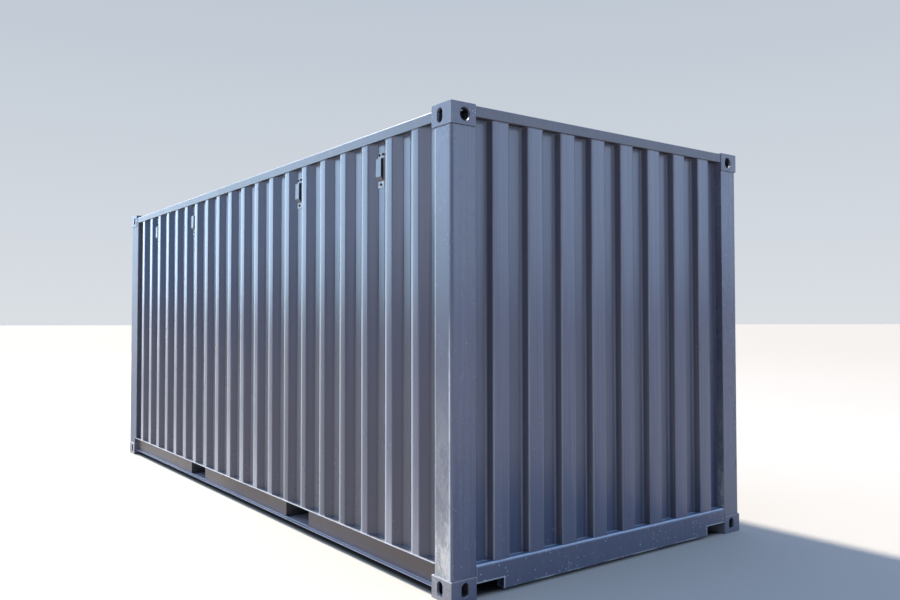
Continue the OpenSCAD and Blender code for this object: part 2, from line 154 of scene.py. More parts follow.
def paint(name, base=BLUE, pale=BLUE_PALE, deep=BLUE_DEEP, dust=0.5, film=0.0, wear=0.0, mottle=0.0, chips=0.0,
          streaks=0.35, rough=0.26, cloudy=0.7, thin=0.0, film_col=(0.330, 0.330, 0.345), spec=0.5, extra=None):
    """Satin container paint: broad fading, run-off streaks, dust low down and on ledges, specks and chips."""
    g = Graph(name)
    broad = g.ramp(g.noise(0.9, detail=4), 0.35, 0.68)
    streak = g.ramp(g.noise(9.0, (1, 1, 0.055), detail=4, rough=0.6), 0.42, 0.78)
    fine = g.ramp(g.noise(42.0, (1, 1, 0.03), detail=3, rough=0.6, shift=(2, 5, 1)), 0.45, 0.75)
    cloud = g.ramp(g.noise(3.2, (1, 1, 0.5), detail=6, rough=0.62, warp=0.1, shift=(3, 1, 7)), 0.38, 0.75)
    col = g.mix(g.math("MULTIPLY", broad, 0.45 * cloudy), base, deep)
    col = g.mix(g.math("MULTIPLY", streak, streaks), col, pale)
    col = g.mix(g.math("MULTIPLY", fine, streaks * 0.6), col, pale)
    col = g.mix(g.math("MULTIPLY", cloud, 0.14 * cloudy), col, pale)
    hue = g.ramp(g.noise(23.0, (1, 1, 0.02), detail=2, rough=0.5, shift=(8, 3, 6)), 0.40, 0.62)
    col = g.mix(g.math("MULTIPLY", hue, streaks * 0.75), col, (0.128, 0.124, 0.188))
    # fine vertical pale and dark lines: painted reflection banding of the surroundings
    if thin:
        lines = g.noise(88.0, (1, 1, 0.010), detail=2, rough=0.6, shift=(4, 4, 9))
        col = g.mix(g.math("MULTIPLY", g.ramp(lines, 0.52, 0.66), thin), col, pale)
        col = g.mix(g.math("MULTIPLY", g.ramp(lines, 0.47, 0.34), thin), col, deep)
    # dust: near the ground, on ledges, and in faint runs
    low = g.ramp(g.z, 0.50, 0.0)
    ledge = g.ramp(g.nz, 0.35, 0.95)
    grain = g.ramp(g.noise(26, detail=5, rough=0.7), 0.34, 0.70)
    drift = g.ramp(g.noise(2.4, (1, 1, 1.6), detail=5, rough=0.6, shift=(9, 4, 2)), 0.35, 0.72)
    d = g.math("MULTIPLY", low, g.math("MULTIPLY", drift, 0.40))
    d = g.math("MAXIMUM", d, g.math("MULTIPLY", ledge, g.math("MULTIPLY_ADD", grain, 0.5, 0.18)))
    d = g.math("MULTIPLY", d, dust, clamp=True)
    col = g.mix(g.math("MULTIPLY", d, g.math("MULTIPLY_ADD", grain, 0.5, 0.5)), col, DUST)
    rough_v = g.math("MULTIPLY_ADD", cloud, 0.08 * cloudy, rough)
    rough_v = g.math("ADD", rough_v, g.math("MULTIPLY", d, 0.30), clamp=True)
    if film:
        # a thin film of pale dust on the long sides, thickest near the ground
        patchy = g.ramp(g.noise(1.1, (1, 1, 0.3), detail=3, shift=(4, 9, 1)), 0.38, 0.62, 0.75, 1.0)
        patchy = g.math("MULTIPLY", patchy, g.math("MAXIMUM", g.ramp(g.x, 1.3, 0.2, 0.05, 1.0), g.ramp(g.x, 1.9, 2.45, 0.0, 0.56)))
        spare = g.math("MULTIPLY_ADD", patchy, 0.33, 0.12)
        up = g.math("MULTIPLY_ADD", g.ramp(g.z, 0.75, 0.15), g.math("MULTIPLY", patchy, 0.9), g.math("MULTIPLY", g.ramp(g.z, 1.35, 0.15), spare))
        side = g.ramp(g.math("ABSOLUTE", g.ny), 0.90, 0.995)
        runs = g.math("MULTIPLY_ADD", g.ramp(g.noise(17, (1, 1, 0.09), detail=5, rough=0.65, shift=(6, 1, 4)), 0.30, 0.72), 0.42, 0.50)
        f = g.math("MULTIPLY", g.math("MULTIPLY", up, side), g.math("MULTIPLY", runs, film), clamp=True)
        col = g.mix(f, col, film_col)
        rough_v = g.math("ADD", rough_v, g.math("MULTIPLY", f, 0.15), clamp=True)
    if mottle:
        m = g.ramp(g.noise(13, (1, 1, 0.7), detail=8, rough=0.72, warp=0.15, shift=(2, 8, 5)), 0.34, 0.70)
        m2 = g.ramp(g.noise(1.7, (1, 1, 0.5), detail=3, shift=(5, 5, 1)), 0.36, 0.66)
        m = g.math("MULTIPLY", g.math("MULTIPLY", m, m2), mottle, clamp=True)
        col = g.mix(m, col, CHALK)
        rough_v = g.math("ADD", rough_v, g.math("MULTIPLY", m, 0.18), clamp=True)
    if chips:
        spot = g.ramp(g.cells(31, shift=(4, 2, 9)), 0.20, 0.10)
        where = g.ramp(g.noise(6.1, detail=5, rough=0.7, shift=(1, 6, 3)), 0.50, 0.62)
        c = g.math("MULTIPLY", g.math("MULTIPLY", spot, where), chips, clamp=True)
        col = g.mix(c, col, (0.55, 0.58, 0.62))
        rough_v = g.math("ADD", rough_v, g.math("MULTIPLY", c, 0.2), clamp=True)
    if wear:
        rub = g.ramp(g.noise(38, (1, 1, 0.6), detail=6, rough=0.75, warp=0.1), 0.52, 0.66)
        patch = g.ramp(g.noise(2.8, detail=4, shift=(7, 7, 7)), 0.50, 0.66)
        w = g.math("MULTIPLY", g.math("MULTIPLY", rub, patch), wear, clamp=True)
        col = g.mix(w, col, (0.32, 0.33, 0.35))
    if extra:
        col, rough_v = extra(g, col, rough_v)
    g.bsdf.inputs["Specular IOR Level"].default_value = spec
    tiny = g.noise(240, detail=2)
    soft = g.noise(14, (1, 1, 0.6), detail=2)
    n1 = g.bump(soft, 0.06, 0.0006)
    n2 = g.bump(tiny, 0.10, 0.0004, n1)
    return g.done(col, rough_v, 0.0, n2)


def post_side(g, col, rough):
    """The long-side face of a front post: grainy dust that thickens towards the ground, rubbed pale along the front
    edge, with a painted highlight along the rolled inner edge by the side wall.
    """
    side = g.ramp(g.math("ABSOLUTE", g.ny), 0.90, 0.995)
    grain = g.ramp(g.noise(95, (1, 1, 0.45), detail=5, rough=0.75, shift=(1, 3, 2)), 0.38, 0.64)
    m = g.ramp(g.noise(21, (1, 1, 0.45), detail=7, rough=0.74, warp=0.1, shift=(5, 3, 1)), 0.36, 0.66)
    big = g.ramp(g.noise(3.1, (1, 1, 0.6), detail=4, shift=(3, 9, 6)), 0.34, 0.66)
    low = g.math("ADD", g.ramp(g.z, 1.30, 0.60, 0.0, 0.27), g.ramp(g.z, 0.56, 0.26, 0.0, 0.72))
    both = g.math("MULTIPLY_ADD", m, 0.45, g.math("MULTIPLY_ADD", grain, 0.35, g.math("MULTIPLY", big, 0.20)))
    body = g.ramp(both, 0.20, 0.76, 0.40, 1.04)
    f = g.math("MULTIPLY", g.math("MULTIPLY", side, low), body, clamp=True)
    # a rubbed swirl high on the face
    bend = g.math("MULTIPLY_ADD", g.math("SINE", g.math("MULTIPLY", g.z, 24.0)), 0.016, HX - 0.098)
    off = g.math("ABSOLUTE", g.math("SUBTRACT", g.x, bend))
    swirl = g.math("MULTIPLY", g.ramp(off, 0.011, 0.002), g.math("MULTIPLY", g.ramp(g.z, 2.22, 2.27), g.ramp(g.z, 2.455, 2.40)))
    swirl = g.math("MULTIPLY", g.math("MULTIPLY", swirl, side), g.math("MULTIPLY_ADD", m, 0.35, 0.25), clamp=True)
    col = g.mix(swirl, col, (0.070, 0.105, 0.165))
    calm = g.math("MULTIPLY", side, g.math("MULTIPLY", g.ramp(g.z, 2.25, 1.75), 0.70))
    col = g.mix(calm, col, (0.088, 0.094, 0.134))
    col = g.mix(f, col, (0.640, 0.590, 0.545))
    edge = g.ramp(g.x, HX - 0.032, HX - 0.022)
    edge = g.math("MULTIPLY", edge, g.ramp(g.x, HX - 0.014, HX - 0.018))
    edge = g.math("MULTIPLY", edge, g.ramp(g.z, 1.55, 1.15))
    edge_noise = g.ramp(g.noise(24, (1, 1, 0.4), detail=5, rough=0.7, shift=(2, 2, 8)), 0.36, 0.56)
    e = g.math("MULTIPLY", g.math("MULTIPLY", edge, g.math("LESS_THAN", g.y, 0.0)), g.math("MULTIPLY_ADD", edge_noise, 0.55, 0.30), clamp=True)
    # painted highlight along the rolled inner edge, where the face meets the side wall
    inner = g.math("MULTIPLY", g.ramp(g.x, HX - 0.144, HX - 0.151), g.math("GREATER_THAN", g.math("ABSOLUTE", g.y), HY - 0.012))
    e = g.math("MAXIMUM", e, g.math("MULTIPLY", inner, g.math("MULTIPLY_ADD", edge_noise, 0.20, 0.55)))
    col = g.mix(e, col, (0.62, 0.63, 0.66))
    return col, g.math("ADD", rough, g.math("MULTIPLY", f, 0.14), clamp=True)


PITCH, FLAT_X, FRONT_FACE = 0.278, HX - 0.392, HX - 0.013


def side_wall_dust_and_painted_light(g, col, rough):
    """Side walls: a painted highlight along one bend of each outer flat, fading across the flat; painted shade on the
    inner flats and on the slopes, with painted warm floor light low on the slopes; a painted highlight high on the
    inner flats by the post; a painted sky reflection high on the slopes towards the doors; pale dust low on the outer
    flats towards the doors.
    """
    u = g.math("MULTIPLY", g.math("FRACT", g.math("DIVIDE", g.math("SUBTRACT", g.x, FLAT_X), PITCH)), PITCH)
    outer = g.math("GREATER_THAN", g.math("ABSOLUTE", g.y), WALL_Y - 0.009)
    # painted highlight along the bend on one side of each outer flat, fading towards the doors
    line = g.math("MAXIMUM", g.ramp(u, 0.019, 0.010), g.ramp(u, PITCH - 0.007, PITCH - 0.001))
    edge_noise = g.ramp(g.noise(19, (1, 1, 0.10), detail=4, rough=0.6, shift=(2, 7, 8)), 0.30, 0.62)
    far = g.ramp(g.x, 2.2, -2.2, 0.80, 0.20)
    far = g.math("MULTIPLY", far, g.ramp(g.z, 2.35, 0.90, 0.38, 1.0))
    e = g.math("MULTIPLY", g.math("MULTIPLY", outer, line), g.math("MULTIPLY", far, g.math("MULTIPLY_ADD", edge_noise, 0.12, 0.62)), clamp=True)
    # painted highlight fading across each outer flat from that bend
    painted_flat_highlight = g.math("MULTIPLY", g.math("MULTIPLY", outer, g.ramp(u, 0.052, 0.008)), 0.16)
    inner = g.ramp(g.math("ABSOLUTE", g.y), WALL_Y - 0.024, WALL_Y - 0.033)
    # painted highlight high on the inner flats next to the front post
    nook = g.math("MULTIPLY", inner, g.ramp(g.x, HX - 0.255, HX - 0.235))
    col = g.mix(g.math("MULTIPLY", nook, g.ramp(g.z, 1.90, 2.30, 0.0, 0.44)), col, (0.330, 0.330, 0.360))
    # painted shade on the inner flats, strongest near the top
    painted_shade = g.math("ADD", g.ramp(g.z, 2.15, 1.75, 0.0, 0.80), g.ramp(g.z, 1.0, 0.5, 0.0, 0.08))
    col = g.mix(g.math("MULTIPLY", inner, painted_shade), col, (0.036, 0.035, 0.056))
    mid = g.math("MULTIPLY", g.math("MULTIPLY", g.ramp(g.x, 0.55, 1.0), g.ramp(g.x, 2.30, 1.95)), g.ramp(g.z, 2.10, 1.60))
    col = g.mix(g.math("MULTIPLY", g.math("MULTIPLY", outer, mid), 0.62), col, (0.044, 0.043, 0.069))
    dusty = g.math("MULTIPLY", g.math("MULTIPLY", outer, g.ramp(g.x, 0.9, 0.2)), g.ramp(g.z, 1.50, 0.90, 0.0, 0.17))
    col = g.mix(dusty, col, (0.500, 0.470, 0.490))
    # painted shade on the slopes, with painted warm floor light low down
    slope = g.ramp(g.math("ABSOLUTE", g.nx), 0.30, 0.42)
    col = g.mix(g.math("MULTIPLY", slope, 0.55), col, (0.059, 0.056, 0.093))
    col = g.mix(g.math("MULTIPLY", g.math("MULTIPLY", slope, g.ramp(g.z, 1.40, 0.70)), 0.45), col, (0.066, 0.057, 0.080))
    # painted sky reflection: slopes bluer high up towards the doors
    painted_sky_reflection = g.math("MULTIPLY", g.ramp(g.x, 0.2, -2.4), g.ramp(g.z, 1.30, 2.00))
    col = g.mix(g.math("MULTIPLY", g.math("MULTIPLY", slope, painted_sky_reflection), 0.50), col, (0.040, 0.092, 0.180))
    col = g.mix(painted_flat_highlight, col, (0.300, 0.315, 0.350))
    col = g.mix(e, col, (0.560, 0.580, 0.620))
    return col, g.math("ADD", rough, g.math("MULTIPLY", e, 0.10), clamp=True)


def front_bends(g, col, rough):
    """Front wall: painted shade on the rib flanks and in the recesses, turning blue low in the recesses, and a painted
    highlight along one bend of each rib and along the inner bends of the recesses.
    """
    v = g.math("MULTIPLY", g.math("FRACT", g.math("DIVIDE", g.math("SUBTRACT", g.y, 0.070), 0.250)), 0.250)
    flank = g.ramp(g.math("ABSOLUTE", g.ny), 0.72, 0.92)
    # painted shade in the recesses, turning blue near the foot
    deep = g.ramp(g.x, FRONT_FACE - 0.030, FRONT_FACE - 0.043)
    col = g.mix(g.math("MULTIPLY", deep, 0.42), col, (0.074, 0.082, 0.128))
    col = g.mix(g.math("MULTIPLY", g.math("MULTIPLY", deep, g.ramp(g.z, 0.80, 0.25)), 0.50), col, (0.032, 0.060, 0.135))
    # painted shade on the rib flanks
    col = g.mix(g.math("MULTIPLY", flank, 0.62), col, (0.026, 0.029, 0.046))
    # painted highlight along one bend of each rib
    outer = g.ramp(g.x, FRONT_FACE - 0.008, FRONT_FACE - 0.003)
    line = g.math("MAXIMUM", g.ramp(v, 0.0085, 0.0035), g.ramp(v, 0.2465, 0.2495))
    edge_noise = g.ramp(g.noise(15, (1, 1, 0.12), detail=4, rough=0.6, shift=(2, 7, 8)), 0.30, 0.62)
    e = g.math("MULTIPLY", g.math("MULTIPLY", outer, line), g.math("MULTIPLY_ADD", edge_noise, 0.16, 0.14), clamp=True)
    col = g.mix(e, col, (0.480, 0.490, 0.530))
    # painted highlight along the inner bends of the recesses
    inner = g.math("MULTIPLY", g.math("MULTIPLY", g.ramp(v, 0.2240, 0.2275), g.ramp(v, 0.2385, 0.2345)), deep)
    col = g.mix(g.math("MULTIPLY", inner, 0.60), col, (0.170, 0.176, 0.220))
    return col, rough


def rail_lip(g, col, rough):
    """Bottom side rail: a darker, browner web, bluer towards its foot; painted light on the top faces of the foot
    flange and the pocket floor plates; and a painted highlight on the outer lip of the top flange, which is also
    scuffed bare of gloss.
    """
    ay = g.math("ABSOLUTE", g.y)
    web = g.math("MULTIPLY", g.ramp(g.math("ABSOLUTE", g.ny), 0.70, 0.95), g.ramp(ay, HY - 0.034, HY - 0.041))
    web = g.math("MULTIPLY", web, g.math("MULTIPLY", g.ramp(g.z, 0.046, 0.052), g.ramp(ay, HY - 0.080, HY - 0.060)))
    # web darker and browner towards the front end, and bluer towards its foot
    col = g.mix(g.math("MULTIPLY", web, g.ramp(g.x, -0.60, 0.20, 0.30, 0.68)), col, (0.034, 0.014, 0.014))
    col = g.mix(g.math("MULTIPLY", web, g.ramp(g.z, 0.105, 0.055, 0.0, 0.30)), col, (0.125, 0.125, 0.215))
    # painted light on the top faces of the foot flange and the pocket floor plates
    flange = g.math("MULTIPLY", g.ramp(g.z, 0.056, 0.051), g.ramp(ay, HY - 0.046, HY - 0.041))
    strap = g.math("MULTIPLY", g.math("MULTIPLY", g.ramp(g.z, 0.056, 0.051), g.ramp(g.nz, 0.50, 0.90)), g.ramp(ay, HY - 0.30, HY - 0.10))
    col = g.mix(g.math("MULTIPLY", g.math("MAXIMUM", flange, strap), 0.80), col, (0.470, 0.440, 0.530))
    # painted highlight on the outer lip of the top flange, which is also rougher
    lip = g.math("MULTIPLY", g.ramp(g.math("ABSOLUTE", g.y), HY - 0.0105, HY - 0.0080), g.math("GREATER_THAN", g.z, 0.170))
    edge_noise = g.ramp(g.noise(14, detail=5, rough=0.7, shift=(3, 3, 8)), 0.25, 0.60)
    e = g.math("MULTIPLY", lip, g.math("MULTIPLY_ADD", edge_noise, 0.35, 0.50), clamp=True)
    col = g.mix(e, col, (0.600, 0.610, 0.640))
    return col, g.math("ADD", rough, g.math("MULTIPLY", e, 0.15), clamp=True)


def sill_edge(g, col, rough):
    """Front sill: painted sky light on the faces that look up and a painted highlight along the folded top edge, scuffs
    along the lower edge, chips and scratches on the face.
    """
    low = g.ramp(g.z, 0.033, 0.026)
    n = g.ramp(g.noise(5.5, (1, 1, 2), detail=6, rough=0.75, shift=(4, 7, 3)), 0.42, 0.55)
    f = g.math("MULTIPLY", g.math("MULTIPLY", low, n), 0.65, clamp=True)
    ay = g.math("ABSOLUTE", g.y)
    relief = g.math("MULTIPLY", g.math("GREATER_THAN", ay, POST_IN - 0.186), g.ramp(g.z, 0.089, 0.084))
    notch = g.math("MULTIPLY", g.ramp(g.math("ABSOLUTE", g.math("SUBTRACT", ay, POST_IN - 0.190)), 0.0055, 0.0035), g.math("LESS_THAN", g.z, 0.088))
    end = g.math("GREATER_THAN", ay, POST_IN - 0.0060)
    edges = g.math("MULTIPLY", g.math("MAXIMUM", g.math("MAXIMUM", relief, notch), g.math("MULTIPLY", end, 0.8)), g.math("GREATER_THAN", g.x, HX - 0.013))
    f = g.math("MAXIMUM", f, g.math("MULTIPLY", edges, 0.85))
    col = g.mix(f, col, (0.50, 0.52, 0.56))
    scratch = g.ramp(g.noise(60, (1, 1, 0.10), detail=2, shift=(9, 1, 1)), 0.66, 0.74)
    where = g.ramp(g.noise(2.1, detail=3, shift=(1, 4, 4)), 0.50, 0.62)
    s2 = g.math("MULTIPLY", g.math("MULTIPLY", scratch, where), 0.40, clamp=True)
    col = g.mix(s2, col, (0.30, 0.38, 0.50))
    spot = g.ramp(g.cells(34, shift=(7, 2, 3)), 0.180, 0.110)
    spot = g.math("MULTIPLY", spot, g.ramp(g.noise(5.1, detail=5, rough=0.7, shift=(6, 6, 3)), 0.42, 0.50))
    col = g.mix(g.math("MULTIPLY", spot, 0.55), col, (0.66, 0.71, 0.80))
    # painted sky light on the faces that look up
    up = g.ramp(g.nz, 0.30, 0.85)
    ledge_light_noise = g.ramp(g.noise(12, detail=5, rough=0.7, shift=(3, 1, 1)), 0.30, 0.60)
    t = g.math("MULTIPLY", up, g.math("MULTIPLY_ADD", ledge_light_noise, 0.20, 0.70), clamp=True)
    col = g.mix(t, col, (0.110, 0.185, 0.310))
    # painted highlight on the sill top in the recesses and along the folded top edge
    foot = g.math("MULTIPLY", g.math("MAXIMUM", g.ramp(g.x, FRONT_FACE - 0.0250, FRONT_FACE - 0.0300), g.ramp(g.x, HX - 0.0185, HX - 0.0130)), g.ramp(g.z, 0.165, 0.169))
    col = g.mix(g.math("MULTIPLY", foot, g.math("MULTIPLY_ADD", ledge_light_noise, 0.25, 0.70)), col, (0.500, 0.575, 0.710))
    return col, g.math("ADD", rough, g.math("MULTIPLY", f, 0.15), clamp=True)


def dark_under(g, col, rough):
    """Top rails and headers: painted shade on the faces that look down, side faces darker towards the doors, and a
    painted highlight on the rounded upper edges.
    """
    # painted shade on the faces that look down
    down = g.ramp(g.nz, -0.40, -0.85)
    n = g.ramp(g.noise(18, detail=5, rough=0.7, shift=(1, 1, 6)), 0.30, 0.65)
    col = g.mix(g.math("MULTIPLY", down, g.math("MULTIPLY_ADD", n, 0.12, 0.80)), col, (0.024, 0.021, 0.022))
    # painted highlight on the faces that tilt upwards, along the rounded upper edges
    crest = g.math("MULTIPLY", g.ramp(g.nz, 0.15, 0.60), g.ramp(g.nz, 0.995, 0.93))
    # side faces darker towards the doors
    far = g.math("MULTIPLY", g.ramp(g.math("ABSOLUTE", g.ny), 0.90, 0.99), g.ramp(g.x, 2.0, -0.6, 0.0, 0.85))
    col = g.mix(far, col, (0.066, 0.068, 0.092))
    col = g.mix(g.math("MULTIPLY", crest, g.math("MULTIPLY_ADD", n, 0.20, 0.40)), col, (0.500, 0.520, 0.550))
    return col, rough


def cast_edge(g, col, rough):
    """Corner fittings: rolled upper edges rubbed pale and given a painted highlight, painted shade inside."""
    # upper faces of the bottom fittings rubbed pale, with a painted highlight
    up = g.ramp(g.nz, 0.25, 0.80)
    n = g.ramp(g.noise(22, detail=5, rough=0.7, shift=(3, 6, 1)), 0.30, 0.60)
    e = g.math("MULTIPLY", g.math("MULTIPLY", up, g.math("LESS_THAN", g.z, 0.2)), g.math("MULTIPLY_ADD", n, 0.25, 0.55), clamp=True)
    side = g.math("MULTIPLY", g.ramp(g.math("ABSOLUTE", g.ny), 0.60, 0.90), g.math("LESS_THAN", g.z, 0.1175))
    pale = g.ramp(g.noise(60, detail=5, rough=0.75, shift=(5, 2, 9)), 0.42, 0.64)
    dark = g.ramp(g.noise(44, detail=5, rough=0.75, shift=(1, 7, 3)), 0.55, 0.68)
    col = g.mix(g.math("MULTIPLY", g.math("MULTIPLY", side, pale), 0.36), col, (0.520, 0.455, 0.450))
    col = g.mix(g.math("MULTIPLY", g.math("MULTIPLY", side, dark), 0.50), col, (0.135, 0.100, 0.098))
    broad = g.math("MULTIPLY", g.ramp(g.nz, 0.85, 0.95), g.math("LESS_THAN", g.x, 0.0))
    keep = g.math("SUBTRACT", 1.0, g.math("MULTIPLY", broad, g.ramp(g.math("ABSOLUTE", g.y), HY - 0.010, HY - 0.016, 0.45, 0.90)))
    col = g.mix(g.math("MULTIPLY", e, keep), col, (0.640, 0.660, 0.700))
    # pale line along the top edge of the side faces: rubbing with a painted highlight
    rim = g.math("MULTIPLY", g.math("MULTIPLY", g.ramp(g.z, 0.1125, 0.1145), g.math("LESS_THAN", g.z, 0.2)), g.math("MULTIPLY_ADD", n, 0.25, 0.60))
    rim = g.math("MULTIPLY", rim, g.ramp(g.math("ABSOLUTE", g.ny), 0.10, 0.60, 0.30, 1.0), clamp=True)
    col = g.mix(g.math("MULTIPLY", rim, keep), col, (0.800, 0.780, 0.790))
    # painted shade inside the openings of the fittings
    ax, ay = g.math("ABSOLUTE", g.x), g.math("ABSOLUTE", g.y)
    inside = g.math("MULTIPLY", g.ramp(ax, HX - 0.012, HX - 0.022), g.ramp(ay, HY - 0.012, HY - 0.022))
    inside = g.math("MULTIPLY", inside, g.math("MULTIPLY", g.math("GREATER_THAN", ax, HX - 0.170), g.math("GREATER_THAN", ay, HY - 0.154)))
    tall = g.math("MAXIMUM", g.math("MULTIPLY", g.ramp(g.z, 0.014, 0.024), g.math("LESS_THAN", g.z, 0.112)), g.math("MULTIPLY", g.math("GREATER_THAN", g.z, H - 0.112), g.ramp(g.z, H - 0.014, H - 0.024)))
    col = g.mix(g.math("MULTIPLY", g.math("MULTIPLY", inside, tall), 0.88), col, (0.020, 0.018, 0.018))
    return col, rough


def vent_faces(g, col, rough):
    """Vent hoods: pale flange plates, each side cheek painted near black as a shaded louvre, and painted shade on the
    slanted lower face.
    """
    plate = g.math("LESS_THAN", g.math("ABSOLUTE", g.y), WALL_Y - 0.036 + 0.0045)
    col = g.mix(g.math("MULTIPLY", plate, 0.75), col, (0.480, 0.500, 0.525))
    # painted shade: each side cheek of the hood near black, as a shaded louvre
    cheek = g.math("MULTIPLY", g.ramp(g.math("ABSOLUTE", g.nx), 0.75, 0.92), g.math("SUBTRACT", 1.0, plate))
    col = g.mix(g.math("MULTIPLY", cheek, 0.92), col, (0.016, 0.022, 0.036))
    # painted shade on the faces that look down
    painted_shade = g.ramp(g.nz, -0.25, -0.60)
    n = g.ramp(g.noise(90, detail=4, rough=0.7), 0.35, 0.65)
    col = g.mix(g.math("MULTIPLY", painted_shade, g.math("MULTIPLY_ADD", n, 0.25, 0.60)), col, (0.070, 0.066, 0.078))
    return col, rough


M = {}
M["wall"] = paint("paint_wall", base=(0.085, 0.086, 0.132), pale=(0.124, 0.125, 0.180), deep=(0.067, 0.068, 0.107), film=0.80, film_col=(0.520, 0.480, 0.492), streaks=0.18, cloudy=0.12, thin=0.22, extra=side_wall_dust_and_painted_light)
M["front"] = paint("paint_front", dust=0.12, streaks=0.32, cloudy=0.14, chips=0.05, thin=0.40, extra=front_bends)
M["post"] = paint("paint_post", mottle=0.10, wear=0.15, chips=0.2, thin=0.40, extra=post_side)
M["rear"] = paint("paint_rear_post", base=(0.086, 0.092, 0.136), pale=(0.116, 0.124, 0.176), deep=(0.070, 0.075, 0.112), film=0.15, mottle=0.12, chips=0.3, rough=0.46, cloudy=0.3)
M["top"] = paint("paint_top_rail", base=(0.112, 0.121, 0.160), pale=(0.152, 0.160, 0.194), deep=(0.088, 0.096, 0.134), dust=0.40, wear=0.2, cloudy=0.4, thin=0.15, rough=0.40, spec=0.38, extra=dark_under)
M["rail"] = paint("paint_rail", base=(0.110, 0.094, 0.100), dust=0.45, film=0.80, film_col=(0.236, 0.158, 0.108), wear=0.2, rough=0.34, extra=rail_lip)
M["sill"] = paint("paint_sill", dust=0.0, wear=0.30, chips=0.6, rough=0.32, extra=sill_edge)
M["sill_rear"] = paint("paint_rear_sill", base=(0.084, 0.092, 0.136), pale=(0.114, 0.124, 0.176), deep=(0.068, 0.075, 0.112), dust=0.3, wear=0.5, chips=0.5, rough=0.34, cloudy=0.3)
M["cast"] = paint("paint_cast", dust=0.6, film=0.9, film_col=(0.390, 0.360, 0.320), wear=0.6, mottle=0.30, chips=0.4, rough=0.40, extra=cast_edge)
M["roof"] = paint("paint_roof", dust=0.45, mottle=0.25, rough=0.42)
M["weld"] = paint("paint_weld", wear=0.3, rough=0.34)
# dark bead colour, also standing for the shade under the top fittings' overhang
M["seam_and_shade"] = paint("paint_seam", base=(0.040, 0.046, 0.066), pale=(0.070, 0.078, 0.104), deep=(0.028, 0.032, 0.048), dust=0.3, rough=0.5)
M["door"] = paint("paint_door", base=(0.080, 0.087, 0.128), pale=(0.110, 0.118, 0.168), deep=(0.064, 0.070, 0.104), film=0.0, streaks=0.3, cloudy=0.2, thin=0.30, chips=0.15, dust=0.3)
M["vent"] = paint("paint_vent", base=(0.150, 0.172, 0.216), pale=(0.190, 0.210, 0.250), dust=0.2, rough=0.36, extra=vent_faces)


def under_mat():
    g = Graph("underside_coat")
    a = g.ramp(g.noise(4, detail=6, rough=0.65), 0.35, 0.70)
    b = g.ramp(g.noise(30, detail=5, rough=0.7), 0.40, 0.68)
    col = g.mix(g.math("MULTIPLY", a, 0.6), (0.050, 0.056, 0.068), (0.095, 0.098, 0.104))
    col = g.mix(g.math("MULTIPLY", b, 0.35), col, (0.20, 0.175, 0.145))
    return g.done(col, g.math("MULTIPLY_ADD", a, 0.2, 0.62), 0.0, g.bump(b, 0.3, 0.001))


def deck_mat():
    g = Graph("deck_plywood")
    fibre = g.noise(60, (0.05, 1, 1), detail=8, rough=0.7)
    broad = g.ramp(g.noise(1.4, (0.5, 2, 1), detail=4), 0.3, 0.7)
    col = g.mix(g.ramp(fibre, 0.35, 0.70), (0.150, 0.075, 0.036), (0.270, 0.150, 0.075))
    col = g.mix(g.math("MULTIPLY", broad, 0.4), col, (0.10, 0.055, 0.03))
    return g.done(col, g.math("MULTIPLY_ADD", fibre, 0.25, 0.5), 0.0, g.bump(fibre, 0.25, 0.0015))


def rubber_mat():
    g = Graph("gasket_rubber")
    a = g.noise(40, detail=5, rough=0.7)
    col = g.mix(g.ramp(a, 0.4, 0.75), (0.012, 0.012, 0.013), (0.045, 0.043, 0.040))
    return g.done(col, g.math("MULTIPLY_ADD", a, 0.2, 0.62), 0.0, g.bump(a, 0.2, 0.0008))


def zinc_mat():
    g = Graph("dull_zinc")
    sp = g.cells(60)
    a = g.noise(9, detail=6, rough=0.65)
    col = g.mix(g.ramp(sp, 0.1, 0.6), (0.215, 0.225, 0.232), (0.300, 0.310, 0.315))
    col = g.mix(g.math("MULTIPLY", g.ramp(a, 0.5, 0.75), 0.5), col, (0.20, 0.185, 0.165))
    return g.done(col, g.math("MULTIPLY_ADD", a, 0.25, 0.42), 0.75, g.bump(a, 0.15, 0.0006))


def bolt_mat():
    g = Graph("dark_bolt")
    a = g.noise(120, detail=4)
    col = g.mix(a, (0.016, 0.018, 0.024), (0.045, 0.047, 0.055))
    return g.done(col, g.math("MULTIPLY_ADD", a, 0.2, 0.4), 0.3, g.bump(a, 0.2, 0.0004))


M["under"] = under_mat()
M["deck"] = deck_mat()
M["rubber"] = rubber_mat()
M["zinc"] = zinc_mat()
M["bolt"] = bolt_mat()


# ---------------------------------------------------------------- mesh helpers

def finish_mesh(name, bm, mat, angle=35.0, keep_flat=True):
    """Turns a bmesh into a piece that rides on the container, smooth up to a crease angle."""
    me = bpy.data.meshes.new(name)
    bmesh.ops.recalc_face_normals(bm, faces=bm.faces)
    for f in bm.faces:
        f.smooth = True
    bm.to_mesh(me)
    bm.free()
    me.set_sharp_from_angle(angle=math.radians(angle))
    me.materials.append(M[mat])
    ob = bpy.data.objects.new(name, me)
    bpy.context.scene.collection.objects.link(ob)
    if keep_flat:
        m = ob.modifiers.new("flat", "WEIGHTED_NORMAL")
        m.keep_sharp = True
        m.weight = 60
        apply_all(ob)
    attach(ob, "root")
    return ob


def apply_all(ob):
    dg = bpy.context.evaluated_depsgraph_get()
    dg.update()
    me = bpy.data.meshes.new_from_object(ob.evaluated_get(dg), preserve_all_data_layers=True, depsgraph=dg)
    old = ob.data
    ob.modifiers.clear()
    ob.data = me
    me.name = old.name + "_m"


